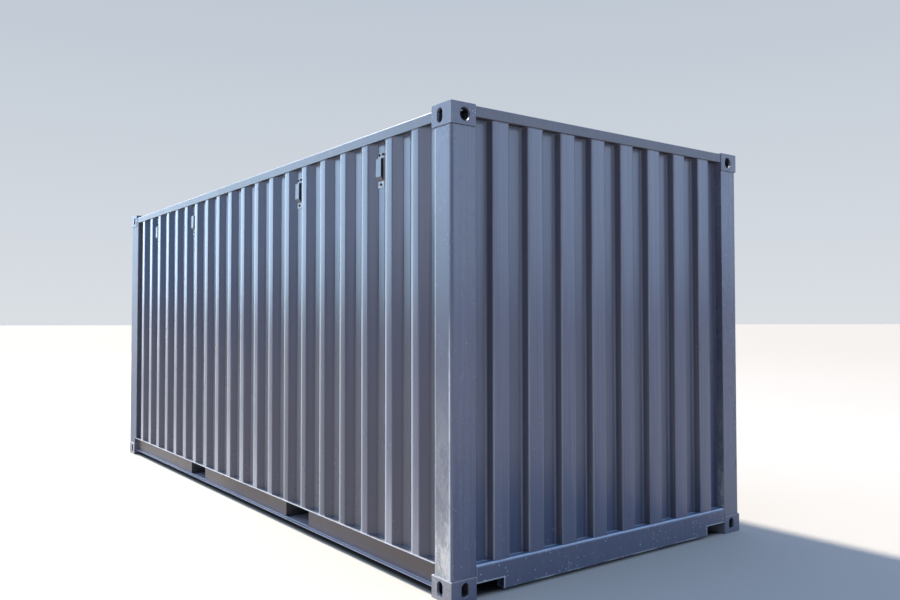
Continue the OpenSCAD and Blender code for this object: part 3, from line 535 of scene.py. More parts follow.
def soften(names, new_name, mat, width=0.003, segments=2, angle=30.0, wide=None, wide_width=0.008, sharp=None):
    """A copy of one or more nodes with rolled edges, which then stands for them. wide picks edges to roll further, sharp edges to leave."""
    bm = bmesh.new()
    for n in names:
        bm.from_mesh(nodes[n].data)
    bmesh.ops.remove_doubles(bm, verts=bm.verts, dist=0.00002)
    bmesh.ops.dissolve_limit(bm, angle_limit=math.radians(1.0), verts=bm.verts, edges=bm.edges, delimit={"NORMAL"})
    bmesh.ops.recalc_face_normals(bm, faces=bm.faces)
    if wide:
        edges = [e for e in bm.edges if len(e.link_faces) == 2 and wide((e.verts[0].co + e.verts[1].co) / 2, (e.verts[1].co - e.verts[0].co).normalized())]
        bmesh.ops.bevel(bm, geom=edges, offset=wide_width, offset_type="OFFSET", segments=5, profile=0.5,
                        affect="EDGES", clamp_overlap=True, miter_outer="SHARP")
    edges = [e for e in bm.edges if len(e.link_faces) == 2 and e.calc_face_angle(0) > math.radians(angle)
             and not (sharp and sharp((e.verts[0].co + e.verts[1].co) / 2))]
    bmesh.ops.bevel(bm, geom=edges, offset=width, offset_type="OFFSET", segments=segments, profile=0.5,
                    affect="EDGES", clamp_overlap=True, miter_outer="SHARP")
    boxes = [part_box(n) for n in names]
    lo = [min(b[0][k] for b in boxes) for k in range(3)]
    hi = [max(b[1][k] for b in boxes) for k in range(3)]
    for v in bm.verts:
        v.co = [max(lo[k], min(hi[k], v.co[k])) for k in range(3)]
    bmesh.ops.triangulate(bm, faces=[f for f in bm.faces if len(f.verts) > 4])
    ob = finish_mesh(new_name, bm, mat, 40)
    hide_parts(*names)
    return ob


def fillet(points, radius, segs):
    """Rounds the inner corners of an open polyline in 2D."""
    out = [points[0]]
    for i in range(1, len(points) - 1):
        p, a, b = Vector(points[i]), Vector(points[i - 1]), Vector(points[i + 1])
        u, v = (a - p).normalized(), (b - p).normalized()
        ang = math.acos(max(-1, min(1, u.dot(v))))
        cut = radius / math.tan(ang / 2)
        cut = min(cut, 0.48 * (a - p).length, 0.48 * (b - p).length)
        r = cut * math.tan(ang / 2)
        c = p + (u + v).normalized() * (r / math.sin(ang / 2))
        s, e = p + u * cut, p + v * cut
        a0, a1 = math.atan2(s.y - c.y, s.x - c.x), math.atan2(e.y - c.y, e.x - c.x)
        d = (a1 - a0 + math.pi) % (2 * math.pi) - math.pi
        for k in range(segs + 1):
            t = a0 + d * k / segs
            out.append((c.x + r * math.cos(t), c.y + r * math.sin(t)))
    out.append(points[-1])
    return out


def split_long(points, step):
    out = [points[0]]
    for a, b in zip(points, points[1:]):
        n = max(1, round(math.dist(a, b) / step))
        out += [(a[0] + (b[0] - a[0]) * k / n, a[1] + (b[1] - a[1]) * k / n) for k in range(1, n + 1)]
    return out


def sheet_walls(name, line, t, z0, z1, rows, place, mat, wave, seed):
    """A folded sheet of thickness t, stood up from z0 to z1. place turns (s, depth, z) into a point."""
    n = len(line)
    norms = []
    for i in range(n):
        a, b = Vector(line[max(0, i - 1)]), Vector(line[min(n - 1, i + 1)])
        d = (b - a).normalized()
        norms.append(Vector((-d.y, d.x)))
    bm = bmesh.new()
    grids = []
    for side in (0, 1):
        grid = []
        for j in range(rows + 1):
            z = z0 + (z1 - z0) * j / rows
            fade = min(1.0, 6 * j / rows, 6 * (rows - j) / rows)
            row = []
            for i in range(n):
                s, d = line[i][0] + norms[i].x * t * side, line[i][1] + norms[i].y * t * side
                w = noise.noise(Vector((s * 2.3 + seed, z * 1.5, seed))) * wave * fade
                row.append(bm.verts.new(place(s, d + w, z)))
            grid.append(row)
        grids.append(grid)
    for g, flip in zip(grids, (False, True)):
        for j in range(rows):
            for i in range(n - 1):
                q = [g[j][i], g[j][i + 1], g[j + 1][i + 1], g[j + 1][i]]
                bm.faces.new(q[::-1] if flip else q)
    a, b = grids
    for j in (0, rows):
        for i in range(n - 1):
            bm.faces.new([a[j][i], a[j][i + 1], b[j][i + 1], b[j][i]])
    for i in (0, n - 1):
        for j in range(rows):
            bm.faces.new([a[j][i], a[j + 1][i], b[j + 1][i], b[j][i]])
    return finish_mesh(name, bm, mat, 60, keep_flat=False)


def shell(name, nu, nv, outer, inner, keep, mat, crease=40.0, bevel=0.0):
    """A sheet on a grid of nu x nv points: outer and inner give its two faces, keep says which cells exist."""
    bm = bmesh.new()
    verts = {}

    def v(side, i, j):
        k = (side, i, j)
        if k not in verts:
            verts[k] = bm.verts.new((outer, inner)[side](i, j))
        return verts[k]

    for i in range(nu - 1):
        for j in range(nv - 1):
            if not keep(i, j):
                continue
            bm.faces.new([v(0, i, j), v(0, i + 1, j), v(0, i + 1, j + 1), v(0, i, j + 1)])
            bm.faces.new([v(1, i, j), v(1, i, j + 1), v(1, i + 1, j + 1), v(1, i + 1, j)])
            for di, dj, a, b in ((-1, 0, (i, j), (i, j + 1)), (1, 0, (i + 1, j + 1), (i + 1, j)),
                                 (0, -1, (i + 1, j), (i, j)), (0, 1, (i, j + 1), (i + 1, j + 1))):
                p, q = i + di, j + dj
                if not (0 <= p < nu - 1 and 0 <= q < nv - 1 and keep(p, q)):
                    bm.faces.new([v(0, *a), v(0, *b), v(1, *b), v(1, *a)])
    if bevel:
        bmesh.ops.recalc_face_normals(bm, faces=bm.faces)
        edges = [e for e in bm.edges if len(e.link_faces) == 2 and e.calc_face_angle(0) > math.radians(50)]
        bmesh.ops.bevel(bm, geom=edges, offset=bevel, offset_type="OFFSET", segments=2, profile=0.5, affect="EDGES", clamp_overlap=True)
    return finish_mesh(name, bm, mat, crease)


def normals_2d(line):
    out = []
    for i in range(len(line)):
        a, b = Vector(line[max(0, i - 1)]), Vector(line[min(len(line) - 1, i + 1)])
        d = (b - a).normalized()
        out.append(Vector((-d.y, d.x)))
    return out


def bead(bm, path, r, pitch=0.006, sides=6, seed=0):
    """A weld bead along a path of points: a rippled half-sunk tube."""
    pts = [Vector(path[0])]
    for a, b in zip(path, path[1:]):
        a, b = Vector(a), Vector(b)
        n = max(1, int((b - a).length / pitch))
        pts += [a.lerp(b, k / n) for k in range(1, n + 1)]
    rings = []
    for i, p in enumerate(pts):
        d = (pts[min(i + 1, len(pts) - 1)] - pts[max(i - 1, 0)]).normalized()
        u = d.orthogonal().normalized()
        v = d.cross(u)
        rr = r * (0.85 + 0.22 * (i % 2) + 0.18 * noise.noise(p * 23 + Vector((seed, 0, 0))))
        off = Vector((noise.noise(p * 9 + Vector((seed, 3, 1))), noise.noise(p * 9 + Vector((1, seed, 5))), noise.noise(p * 9 + Vector((4, 2, seed))))) * r * 0.25
        ring = [p + off + (u * math.cos(2 * math.pi * k / sides) + v * math.sin(2 * math.pi * k / sides)) * rr for k in range(sides)]
        rings.append([bm.verts.new((max(-HX, min(HX, q.x)), max(-HY, min(HY, q.y)), min(H, q.z))) for q in ring])
    for a, b in zip(rings, rings[1:]):
        for k in range(sides):
            bm.faces.new([a[k], a[(k + 1) % sides], b[(k + 1) % sides], b[k]])
    bm.faces.new(rings[0][::-1])
    bm.faces.new(rings[-1])


def tile(bm, a, b, bevel=0.0):
    """A box from corner a to corner b, with its edges bevelled."""
    lo = Vector([min(p, q) for p, q in zip(a, b)])
    hi = Vector([max(p, q) for p, q in zip(a, b)])
    r = bmesh.ops.create_cube(bm, size=1.0)
    bmesh.ops.scale(bm, vec=hi - lo, verts=r["verts"])
    bmesh.ops.translate(bm, vec=(lo + hi) / 2, verts=r["verts"])
    if bevel:
        es = {e for v in r["verts"] for e in v.link_edges}
        bmesh.ops.bevel(bm, geom=list(es), offset=bevel, segments=2, profile=0.5, affect="EDGES", clamp_overlap=True)


def prism(bm, centre, axis, radius, length, sides, spin=0.0, top=0.85):
    """A short prism along axis with a chamfered outer end, such as a bolt head."""
    axis = Vector(axis).normalized()
    u = axis.orthogonal().normalized()
    v = axis.cross(u)
    rings = []
    for r, h in ((1.0, 0.0), (1.0, 0.72), (top, 1.0)):
        rings.append([bm.verts.new(Vector(centre) + axis * (length * h) + (u * math.cos(spin + 2 * math.pi * k / sides) + v * math.sin(spin + 2 * math.pi * k / sides)) * radius * r) for k in range(sides)])
    for a, b in zip(rings, rings[1:]):
        for k in range(sides):
            bm.faces.new([a[k], a[(k + 1) % sides], b[(k + 1) % sides], b[k]])
    bm.faces.new(rings[0][::-1])
    bm.faces.new(rings[-1])


# ---------------------------------------------------------------- walls

def side_line():
    last = HX - 0.320
    pts = [(-HX + 0.232, 0.036)]
    for k in range(19, -1, -1):
        s = last - 0.072 - k * 0.278
        pts += [(s - 0.068, 0.036), (s, 0.0), (s + 0.072, 0.0), (s + 0.140, 0.036)]
    pts.append((HX - 0.158, 0.036))
    pts = [p for i, p in enumerate(pts) if i == 0 or math.dist(p, pts[i - 1]) > 1e-4]
    return split_long(fillet(pts, 0.028, 5), 0.036)


def front_line():
    pts = [(-POST_IN, 0.0456)]
    for k in range(8):
        s = (k - 4) * 0.250 + 0.125 - 0.055
        pts += [(s - 0.018, 0.0456), (s, 0.0), (s + 0.110, 0.0), (s + 0.128, 0.0456)]
    pts.append((POST_IN, 0.0456))
    return split_long(fillet(pts, 0.012, 5), 0.04)


for sgn, side in ((-1, "right"), (1, "left")):
    o = sheet_walls("wall_sheet_" + side, side_line(), 0.002, RAIL_TOP, TOP_RAIL_LOW + 0.001, 26,
                    lambda s, d, z, sgn=sgn: (s, sgn * (WALL_Y - d), z), "wall", 0.00014, 3.0 + sgn)
    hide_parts("side_wall_" + side)
o = sheet_walls("front_sheet", front_line(), 0.002, SILL_TOP, HEAD_LOW + 0.001, 26,
                lambda s, d, z: (FRONT_X - d, s, z), "front", 0.0003, 11.0)
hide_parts("front_wall")

# ---------------------------------------------------------------- bottom side rails, one folded channel each
T = 0.0045
POCKETS = ((-1.110, -0.750), (0.940, 1.300))


def bottom_rail(side, sgn):
    line = fillet([(0.003, 0.180 - T / 2), (0.051 - T / 2, 0.180 - T / 2), (0.051 - T / 2, 0.042 + T / 2), (0.021, 0.042 + T / 2)], 0.006, 4)
    web = []
    for a, b in zip(line, line[1:]):
        web.append(a)
        if abs(a[0] - b[0]) < 1e-6 and a[1] > 0.165 > 0.05 > b[1]:
            web += [(a[0], z) for z in (0.161, 0.135, 0.109, 0.083, 0.057, 0.0500)]
    web.append(line[-1])
    line = web
    nrm = normals_2d(line)
    x0, x1 = -HX + 0.178, HX - 0.158
    xs = [x0, HX - 0.178, x1] + [e for p in POCKETS for e in p]
    k = x0 + 0.09
    while k < x1:
        if min(abs(k - e) for e in xs) > 0.03:
            xs.append(k)
        k += 0.09
    xs = sorted(xs)

    def at(i, j, off):
        y, z = line[j][0] + nrm[j].x * off, line[j][1] + nrm[j].y * off
        w = noise.noise(Vector((xs[i] * 1.7, j * 0.2, 4.0 + sgn))) * 0.0006 if 0 < j < len(line) - 1 else 0.0
        return (xs[i], sgn * (HY - y - w), z)

    def keep(i, j):
        xm, zm = (xs[i] + xs[i + 1]) / 2, (line[j][1] + line[j + 1][1]) / 2
        if any(a < xm < b for a, b in POCKETS) and 0.0495 < zm < 0.161:
            return False
        return not (xm > HX - 0.178 and zm < 0.118)

    ob = shell("rail_bottom_" + side, len(xs), len(line), lambda i, j: at(i, j, T / 2), lambda i, j: at(i, j, -T / 2), keep, "rail", 40, 0.0010)
    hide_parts("bottom_rail_" + side)
    return ob


rails = [bottom_rail("right", -1), bottom_rail("left", 1)]
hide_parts("pocket_lintels", "pocket_plates")


# ---------------------------------------------------------------- pocket plates run on inwards from the rail's lower flange
def pocket_floor():
    bm = bmesh.new()
    for sgn in (-1, 1):
        for a, b in POCKETS:
            tile(bm, (a, sgn * (HY - 0.052), 0.042), (b, sgn * (HY - 0.251), 0.0465), 0.0008)
    return finish_mesh("pocket_floor_plates", bm, "rail", 35)


pocket_floor()


# ---------------------------------------------------------------- roof: one pressed sheet
def roof():
    x0, x1 = -HX + 0.164, HX - 0.064
    n = 27
    pitch = (x1 - x0 - 0.060) / n
    z0 = TOP_RAIL_TOP
    mids = [x0 + 0.030 + (i + 0.5) * pitch for i in range(n)]
    xs = {x0, x1, -HX + 0.178, HX - 0.178, x0 + 0.012, x1 - 0.012}
    for m in mids:
        for d in (0, 0.022, 0.040, 0.0445, 0.048, 0.052, 0.056, 0.0595, 0.063, 0.080):
            xs |= {m + d, m - d}
    xs = sorted(xs)
    half = HY - 0.034
    ys = {half, half - 0.010, POST_IN, 1.112, 1.106, 1.100, 1.092, 1.084, 1.076, 1.068, 1.062, 0.98, 0.84, 0.70, 0.56, 0.42, 0.28, 0.14, 0.0}
    ys = sorted(ys | {-y for y in ys})

    def smooth(t):
        t = max(0.0, min(1.0, t))
        return t * t * (3 - 2 * t)

    def top(i, j):
        x, y = xs[i], ys[j]
        m = min(mids, key=lambda c: abs(c - x))
        lift = smooth((0.0605 - abs(x - m)) / 0.0165) * smooth((1.109 - abs(y)) / 0.046)
        slack = noise.noise(Vector((x * 1.3, y * 1.1, 2.0))) * 0.0012 * smooth((half - abs(y)) / 0.1)
        return (x, y, z0 + 0.002 + 0.0185 * lift + slack * (1 if lift > 0.2 else 0.4) + 0.0006)

    def under(i, j):
        x, y, z = top(i, j)
        return (x, y, z - 0.002)

    def keep(i, j):
        xm, ym = (xs[i] + xs[i + 1]) / 2, (ys[j] + ys[j + 1]) / 2
        return not (abs(ym) > POST_IN and (xm > HX - 0.178 or xm < -HX + 0.178))

    ob = shell("roof_skin", len(xs), len(ys), top, under, keep, "roof", 50)
    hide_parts("roof_sheet")


roof()

# ---------------------------------------------------------------- frame members with rolled edges
for n in nodes:
    if n.startswith("fitting_"):
        soften([n], "cast_" + n[8:], "cast", 0.004, 3)
for side in ("right", "left"):
    soften(["front_post_" + side], "post_front_" + side, "post", 0.003, 3,
           wide=lambda c, d: abs(d.z) > 0.99 and abs(c.x - (HX - 0.158)) < 0.002 and abs(c.y) > HY - 0.006, wide_width=0.009)
    soften(["rear_post_" + side], "post_rear_" + side, "rear", 0.003, 3)
    soften(["top_rail_" + side], "rail_top_" + side, "top", 0.005, 3,
           wide=lambda c, d: abs(d.x) > 0.99 and c.z > TOP_RAIL_TOP - 0.002 and abs(c.y) > HY - 0.006, wide_width=0.011)
    soften(["vents_" + side], "vent_covers_" + side, "vent", 0.0022, 3)
    soften(["door_" + side], "leaf_" + side, "door", 0.004, 3,
           sharp=lambda c: DOOR_FACE + 0.001 < c.x < DOOR_FACE + 0.049 and (abs(c.z - 0.350) < 0.003 or abs(c.z - 2.315) < 0.003))
    soften(["door_hinges_" + side], "hinges_" + side, "rear", 0.002, 2)
    soften(["lock_rods_" + side], "rods_" + side, "zinc", 0.0015, 2)
soften(["front_header"], "header_front", "top", 0.005, 3, sharp=lambda c: abs(c.y) > 1.055)
soften(["front_sill"], "sill_front", "sill", 0.0015, 2,
       wide=lambda c, d: abs(d.y) > 0.99 and c.z > 0.160 and c.x > HX - 0.014, wide_width=0.0035)
soften(["door_header"], "header_door", "top", 0.004, 3, sharp=lambda c: abs(c.y) > 1.055)
soften(["door_sill"], "sill_door", "sill_rear", 0.004, 3)
soften(["roof_gussets"], "roof_guard_plates", "roof", 0.0012, 2)
soften(["rod_brackets"], "rod_guides", "zinc", 0.0015, 2)
soften(["cam_keepers"], "keepers", "rear", 0.002, 2)
soften(["door_handles"], "handles", "zinc", 0.002, 2)
soften(["handle_catches"], "catches", "rear", 0.001, 2)
soften(["door_gaskets"], "gaskets", "rubber", 0.003, 3)

# ---------------------------------------------------------------- bolts
def vent_bolts(side, sgn):
    """Hex heads on washers that hold each vent hood."""
    bm = bmesh.new()
    y = sgn * (WALL_Y - 0.036 + 0.003)
    for k in (2, 6, 14, 18):
        xc = HX - 0.320 - 0.278 * k + 0.103
        for dx, z in ((-0.0215, H - 0.158), (0.0215, H - 0.158), (0.0, H - 0.336)):
            prism(bm, (xc + dx, y, z), (0, sgn, 0), 0.0092, 0.0018, 18)
            prism(bm, (xc + dx, y + sgn * 0.0016, z), (0, sgn, 0), 0.0076, 0.0066, 6, 0.3 + k, 0.80)
    return finish_mesh("vent_bolts_" + side, bm, "bolt", 30)


vent_bolts("right", -1)
vent_bolts("left", 1)

ROD_YS = (0.262, 0.868)


def door_bolts(side, sgn):
    """Carriage bolts through the hinge blades and rod guides, and the pivot bolts of the handles."""
    bm = bmesh.new()
    for z in (0.330, 0.960, 1.640, 2.311):
        for y in (1.128, 1.084, 1.040):
            prism(bm, (DOOR_FACE - 0.0098, sgn * y, z + 0.017), (-1, 0, 0), 0.0085, 0.0042, 14, 0, 0.55)
            prism(bm, (DOOR_FACE - 0.0098, sgn * y, z - 0.017), (-1, 0, 0), 0.0085, 0.0042, 14, 0, 0.55)
    for y in ROD_YS:
        for z in (0.275, 0.700, 1.050, 1.480, 1.900, 2.390):
            for d in (-0.0345, 0.0345):
                prism(bm, (DOOR_FACE - 0.0058, sgn * (y + d), z), (-1, 0, 0), 0.0095, 0.0016, 16)
                prism(bm, (DOOR_FACE - 0.0072, sgn * (y + d), z), (-1, 0, 0), 0.0074, 0.0058, 6, 0.4, 0.8)
    for y, z in zip(ROD_YS, (1.210, 1.330)):
        for d in (-0.017, 0.017):
            prism(bm, (ROD_X - 0.0225, sgn * y, z + d * 0.9), (-1, 0, 0), 0.0055, 0.0045, 6, 0.2, 0.8)
    return finish_mesh("door_bolts_" + side, bm, "zinc", 30)


door_bolts("right", -1)
door_bolts("left", 1)


def grips():
    """Ribbed grip sleeves on the free ends of the handles."""
    bm = bmesh.new()
    for sgn in (-1, 1):
        for y0, z, way in ((ROD_YS[0], 1.210, 1), (ROD_YS[1], 1.330, -1)):
            a = y0 + way * 0.428
            for k in range(9):
                c = a - way * (0.008 + 0.0105 * k)
                tile(bm, (ROD_X - 0.0213, sgn * (c - 0.0045), z - 0.0190), (ROD_X - 0.0102, sgn * (c + 0.0045), z + 0.0190), 0.0016)
    return finish_mesh("handle_grips", bm, "zinc", 35)


grips()

bm = bmesh.new()
for sgn in (-1, 1):
    foot = [(0.1095, 0.030)]
    for y in (0.227, 0.512, 0.797):
        foot += [(y - 0.030, 0.030), (y, 0.0), (y + 0.144, 0.0), (y + 0.174, 0.030)]
    foot += [(1.0595, 0.030)]
    loop = [(DOOR_FACE + 0.0035 + d, sgn * y, 0.3505) for y, d in foot] + [(DOOR_FACE + 0.0035 + d, sgn * y, 2.3145) for y, d in foot[::-1]]
    bead(bm, loop + loop[:1], 0.0030, 0.008, 6, 19)
finish_mesh("welds_door_panels", bm, "weld", 60, keep_flat=False)

# ---------------------------------------------------------------- welds
SIDE_LINE, FRONT_LINE = side_line(), front_line()
LOW_Z, HIGH_Z = 0.118, H - 0.118


def post_path(sgn, z, out=0.0):
    """Round the outer faces of a front post, from the side wall to the front wall."""
    pts = [(HX - 0.157, HY - 0.004 + out)]
    pts.append((HX - 0.020, HY - 0.004 + out))
    for k in range(1, 6):
        a = math.pi / 2 * (1 - k / 6)
        pts.append((HX - 0.020 + (0.016 + out) * math.cos(a), HY - 0.020 + (0.016 + out) * math.sin(a)))
    pts += [(HX - 0.004 + out, HY - 0.020), (HX - 0.004 + out, POST_IN + 0.002)]
    return [(x, sgn * y, z) for x, y in pts]


def sheet_path(sgn, z, out):
    nrm = normals_2d(SIDE_LINE)
    return [(p[0] + q.x * -out, sgn * (WALL_Y - (p[1] - q.y * out)), z) for p, q in zip(SIDE_LINE, nrm)]


def front_path(z, out):
    nrm = normals_2d(FRONT_LINE)
    return [(FRONT_X - (p[1] - q.y * out), p[0] - q.x * out, z) for p, q in zip(FRONT_LINE, nrm)]


# dark weld beads under the top fittings, also standing for the shade under their overhang
seam_and_shade = bmesh.new()
for sgn in (-1, 1):
    bead(seam_and_shade, post_path(sgn, HIGH_Z - 0.0015), 0.0034, seed=1)
    rear = [(-HX + 0.177, sgn * (HY - 0.004), 0), (-HX + 0.004, sgn * (HY - 0.004), 0), (-HX + 0.004, sgn * (HY - 0.042), 0)]
    bead(seam_and_shade, [(x, y, HIGH_Z - 0.0015) for x, y, z in rear], 0.0034, seed=2)
finish_mesh("welds_under_top_fittings", seam_and_shade, "seam_and_shade", 60, keep_flat=False)

for sgn, side in ((-1, "right"), (1, "left")):
    bm = bmesh.new()
    bead(bm, post_path(sgn, LOW_Z + 0.001), 0.0036, seed=3)
    rear = [(-HX + 0.177, sgn * (HY - 0.004), 0), (-HX + 0.004, sgn * (HY - 0.004), 0), (-HX + 0.004, sgn * (HY - 0.042), 0)]
    bead(bm, [(x, y, LOW_Z + 0.001) for x, y, z in rear], 0.0036, seed=4)
    bead(bm, sheet_path(sgn, RAIL_TOP + 0.0008, 0.0008), 0.0026, 0.008, 6, 5)
    bead(bm, sheet_path(sgn, TOP_RAIL_LOW - 0.0008, 0.0008), 0.0024, 0.008, 6, 6)
    bead(bm, [(HX - 0.159, sgn * (HY - 0.047), RAIL_TOP + 0.002), (HX - 0.159, sgn * (HY - 0.047), 2.471)], 0.0028, 0.008, 6, 7)
    bead(bm, [(-HX + 0.2325, sgn * (HY - 0.047), RAIL_TOP + 0.002), (-HX + 0.2325, sgn * (HY - 0.047), TOP_RAIL_LOW - 0.002)], 0.0028, 0.008, 6, 8)
    for e in (-1, 1):
        x = e * (HX - 0.1785)
        bead(bm, [(x, sgn * (HY - 0.058), TOP_RAIL_LOW - 0.0005), (x, sgn * (HY - 0.008), TOP_RAIL_LOW - 0.0005), (x, sgn * (HY - 0.0035), TOP_RAIL_LOW + 0.005),
                  (x, sgn * (HY - 0.0035), TOP_RAIL_TOP - 0.005), (x, sgn * (HY - 0.008), TOP_RAIL_TOP + 0.0005), (x, sgn * (HY - 0.058), TOP_RAIL_TOP + 0.0005)], 0.0034, seed=9)
        bead(bm, [(x, sgn * (HY - 0.046), 0.052), (x, sgn * (HY - 0.046), 0.112)], 0.0034, seed=10)
    finish_mesh("welds_" + side, bm, "weld", 60, keep_flat=False)

bm = bmesh.new()
bead(bm, front_path(SILL_TOP + 0.0010, 0.0008), 0.0026, 0.008, 6, 11)
bead(bm, front_path(HEAD_LOW - 0.0008, 0.0008), 0.0024, 0.008, 6, 12)
for sgn in (-1, 1):
    y = sgn * (POST_IN - 0.0005)
    bead(bm, [(HX - 0.0590, y, SILL_TOP + 0.002), (HX - 0.0590, y, HEAD_LOW - 0.002)], 0.0028, 0.008, 6, 13)
    bead(bm, [(HX - 0.0035, y, 0.086), (HX - 0.0035, y, SILL_TOP - 0.012), (HX - 0.0125, y, SILL_TOP + 0.0005), (HX - 0.056, y, SILL_TOP + 0.0005)], 0.0034, seed=14)
    bead(bm, [(HX - 0.056, y, HEAD_LOW - 0.0005), (HX - 0.008, y, HEAD_LOW - 0.0005), (HX - 0.0035, y, HEAD_LOW + 0.005),
              (HX - 0.0035, y, H - 0.011), (HX - 0.008, y, H - 0.0065), (HX - 0.060, y, H - 0.0065)], 0.0032, seed=15)
finish_mesh("welds_front_end", bm, "weld", 60, keep_flat=False)

bm = bmesh.new()
top_z = TOP_RAIL_TOP + 0.0016
for sgn in (-1, 1):
    y = sgn * (HY - 0.0345)
    bead(bm, [(-HX + 0.180, y, top_z), (HX - 0.180, y, top_z)], 0.0030, 0.010, 6, 16)
for x in (-HX + 0.1655, HX - 0.0655):
    bead(bm, [(x, -POST_IN + 0.004, top_z), (x, POST_IN - 0.004, top_z)], 0.0030, 0.010, 6, 17)
for x, y in ((e * (HX - 0.178 - 0.026), sgn * (HY - 0.068)) for e in (-1, 1) for sgn in (-1, 1)):
    z = TOP_RAIL_TOP + 0.0055
    bead(bm, [(x - 0.025, y - 0.027, z), (x + 0.025, y - 0.027, z), (x + 0.025, y + 0.027, z), (x - 0.025, y + 0.027, z), (x - 0.025, y - 0.027, z)], 0.0026, seed=18)
finish_mesh("welds_roof", bm, "weld", 60, keep_flat=False)

ASSIGN = {
    "roof_sheet": "roof", "roof_gussets": "roof", "cross_members": "under", "pocket_walls": "under",
    "pocket_tops": "under", "pocket_plates": "rail", "pocket_lintels": "rail",
    "floor_deck": "deck", "floor_centre_rail": "under", "door_right": "door", "door_left": "door",
    "door_gaskets": "rubber", "door_hinges_right": "cast", "door_hinges_left": "cast",
    "lock_rods_right": "zinc", "lock_rods_left": "zinc", "rod_brackets": "zinc", "cam_keepers": "cast",
    "door_handles": "zinc", "handle_catches": "cast",
}
for n, o in nodes.items():
    o.data.materials.clear()
    o.data.materials.append(M[ASSIGN.get(n, "rail")])

# ---------------------------------------------------------------- stage, light, camera
me = bpy.data.meshes.new("floor")
bm = bmesh.new()
bmesh.ops.create_grid(bm, x_segments=4, y_segments=4, size=250)
bm.to_mesh(me)
bm.free()
floor = bpy.data.objects.new("floor", me)
bpy.context.scene.collection.objects.link(floor)
g = Graph("floor_pale")
fl = g.ramp(g.noise(1.2, detail=4), 0.3, 0.7)
fl = g.mix(g.math("MULTIPLY", fl, 0.2), (0.620, 0.565, 0.492), (0.590, 0.537, 0.466))
# painted contact shadow on the floor under the container
painted_contact_shadow = g.math("MULTIPLY", g.ramp(g.math("ABSOLUTE", g.x), HX - 0.005, HX - 0.080), g.ramp(g.math("ABSOLUTE", g.y), HY - 0.005, HY - 0.070))
me.materials.append(g.done(g.mix(g.math("MULTIPLY", painted_contact_shadow, 0.94), fl, (0.018, 0.015, 0.016)), 0.9))

world = bpy.data.worlds.new("studio")
bpy.context.scene.world = world
world.use_nodes = True
wt = world.node_tree
bg = wt.nodes["Background"]
wc = wt.nodes.new("ShaderNodeTexCoord")
ws = wt.nodes.new("ShaderNodeSeparateXYZ")
wt.links.new(wc.outputs["Generated"], ws.inputs[0])


def sky(stops):
    r = wt.nodes.new("ShaderNodeValToRGB")
    wt.links.new(ws.outputs[2], r.inputs[0])
    for i, (pos, colour) in enumerate(stops):
        e = r.color_ramp.elements[i] if i < 2 else r.color_ramp.elements.new(pos)
        e.position = pos
        e.color = (*colour, 1)
    return r.outputs[0]


soft = sky([(0.0, (0.145, 0.155, 0.185)), (0.35, (0.180, 0.232, 0.345)), (0.90, (0.360, 0.540, 0.930))])
plain = sky([(0.0, (0.700, 0.735, 0.775)), (0.55, (0.430, 0.500, 0.600))])
wp = wt.nodes.new("ShaderNodeLightPath")
wm = wt.nodes.new("ShaderNodeMix")
wm.data_type = "RGBA"
wt.links.new(wp.outputs["Is Camera Ray"], wm.inputs[0])
wt.links.new(soft, wm.inputs[6])
wt.links.new(plain, wm.inputs[7])
wt.links.new(wm.outputs[2], bg.inputs["Color"])
bg.inputs["Strength"].default_value = 1.0


def facing(azimuth, elevation):
    a, e = math.radians(azimuth), math.radians(elevation)
    return Vector((math.cos(a) * math.cos(e), math.sin(a) * math.cos(e), math.sin(e)))


def sun_lamp(name, azimuth, elevation, energy, size, colour):
    lamp = bpy.data.lights.new(name, "SUN")
    lamp.energy = energy
    lamp.angle = math.radians(size)
    lamp.color = colour
    ob = bpy.data.objects.new(name, lamp)
    bpy.context.scene.collection.objects.link(ob)
    ob.rotation_euler = facing(azimuth, elevation).to_track_quat("Z", "Y").to_euler()


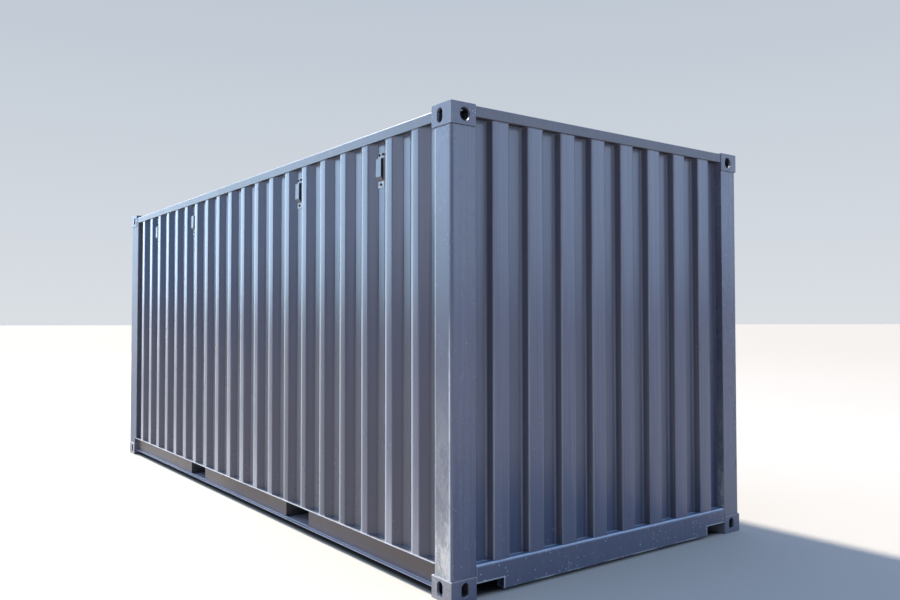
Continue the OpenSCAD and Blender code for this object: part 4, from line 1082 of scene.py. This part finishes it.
def soft_box(name, azimuth, elevation, distance, size_x, size_y, power, colour, target=(0, 0, 1.3), spread=180):
    lamp = bpy.data.lights.new(name, "AREA")
    lamp.shape = "RECTANGLE"
    lamp.size, lamp.size_y = size_x, size_y
    lamp.energy = power
    lamp.color = colour
    lamp.spread = math.radians(spread)
    ob = bpy.data.objects.new(name, lamp)
    bpy.context.scene.collection.objects.link(ob)
    ob.location = facing(azimuth, elevation) * distance
    ob.rotation_euler = (ob.location - Vector(target)).to_track_quat("Z", "Y").to_euler()
    ob.visible_camera = False


sun_lamp("key", 185, 44, 5.6, 3, (1.0, 0.955, 0.88))
soft_box("side_sheen", 208, 26, 26, 16, 20, 1450, (0.52, 0.76, 1.0), (0, -1.2, 2.4), 90)
soft_box("low_strip", 184, 12, 30, 13, 13, 1750, (0.92, 0.95, 1.0))
soft_box("haze_strip", 202, 4, 30, 17, 6, 50, (0.88, 0.94, 1.0))
soft_box("slope_sheen", 274.3, 16, 24, 3.2, 8, 430, (0.70, 0.82, 1.0))
soft_box("slope_sheen_far", 261, 16, 24, 6.5, 8, 430, (0.36, 0.66, 1.0))
soft_box("end_fill", 36, 21, 17, 12, 8, 155, (0.55, 0.75, 1.0), (3.0, 0.0, 2.5), 75)

cam = bpy.data.cameras.new("camera")
cam.sensor_width = 36
cam.lens = 814.4 * 36 / 900
cam.shift_x = (450 - 473.6) / 900
cam.shift_y = (295.8 - 300) / 900
cam.clip_end = 200
co = bpy.data.objects.new("camera", cam)
bpy.context.scene.collection.objects.link(co)
yaw, pitch, roll = (math.radians(v) for v in (142.77, 1.62, -0.09))
fwd = Vector((math.cos(pitch) * math.cos(yaw), math.cos(pitch) * math.sin(yaw), math.sin(pitch)))
r0 = fwd.cross(Vector((0, 0, 1))).normalized()
u0 = r0.cross(fwd)
rr = r0 * math.cos(roll) + u0 * math.sin(roll)
uu = -r0 * math.sin(roll) + u0 * math.cos(roll)
m = Matrix((rr, uu, -fwd)).transposed().to_4x4()
m.translation = Vector((6.420, -3.651, 1.458))
co.matrix_world = m
bpy.context.scene.camera = co
bpy.context.scene.view_settings.view_transform = "Standard"
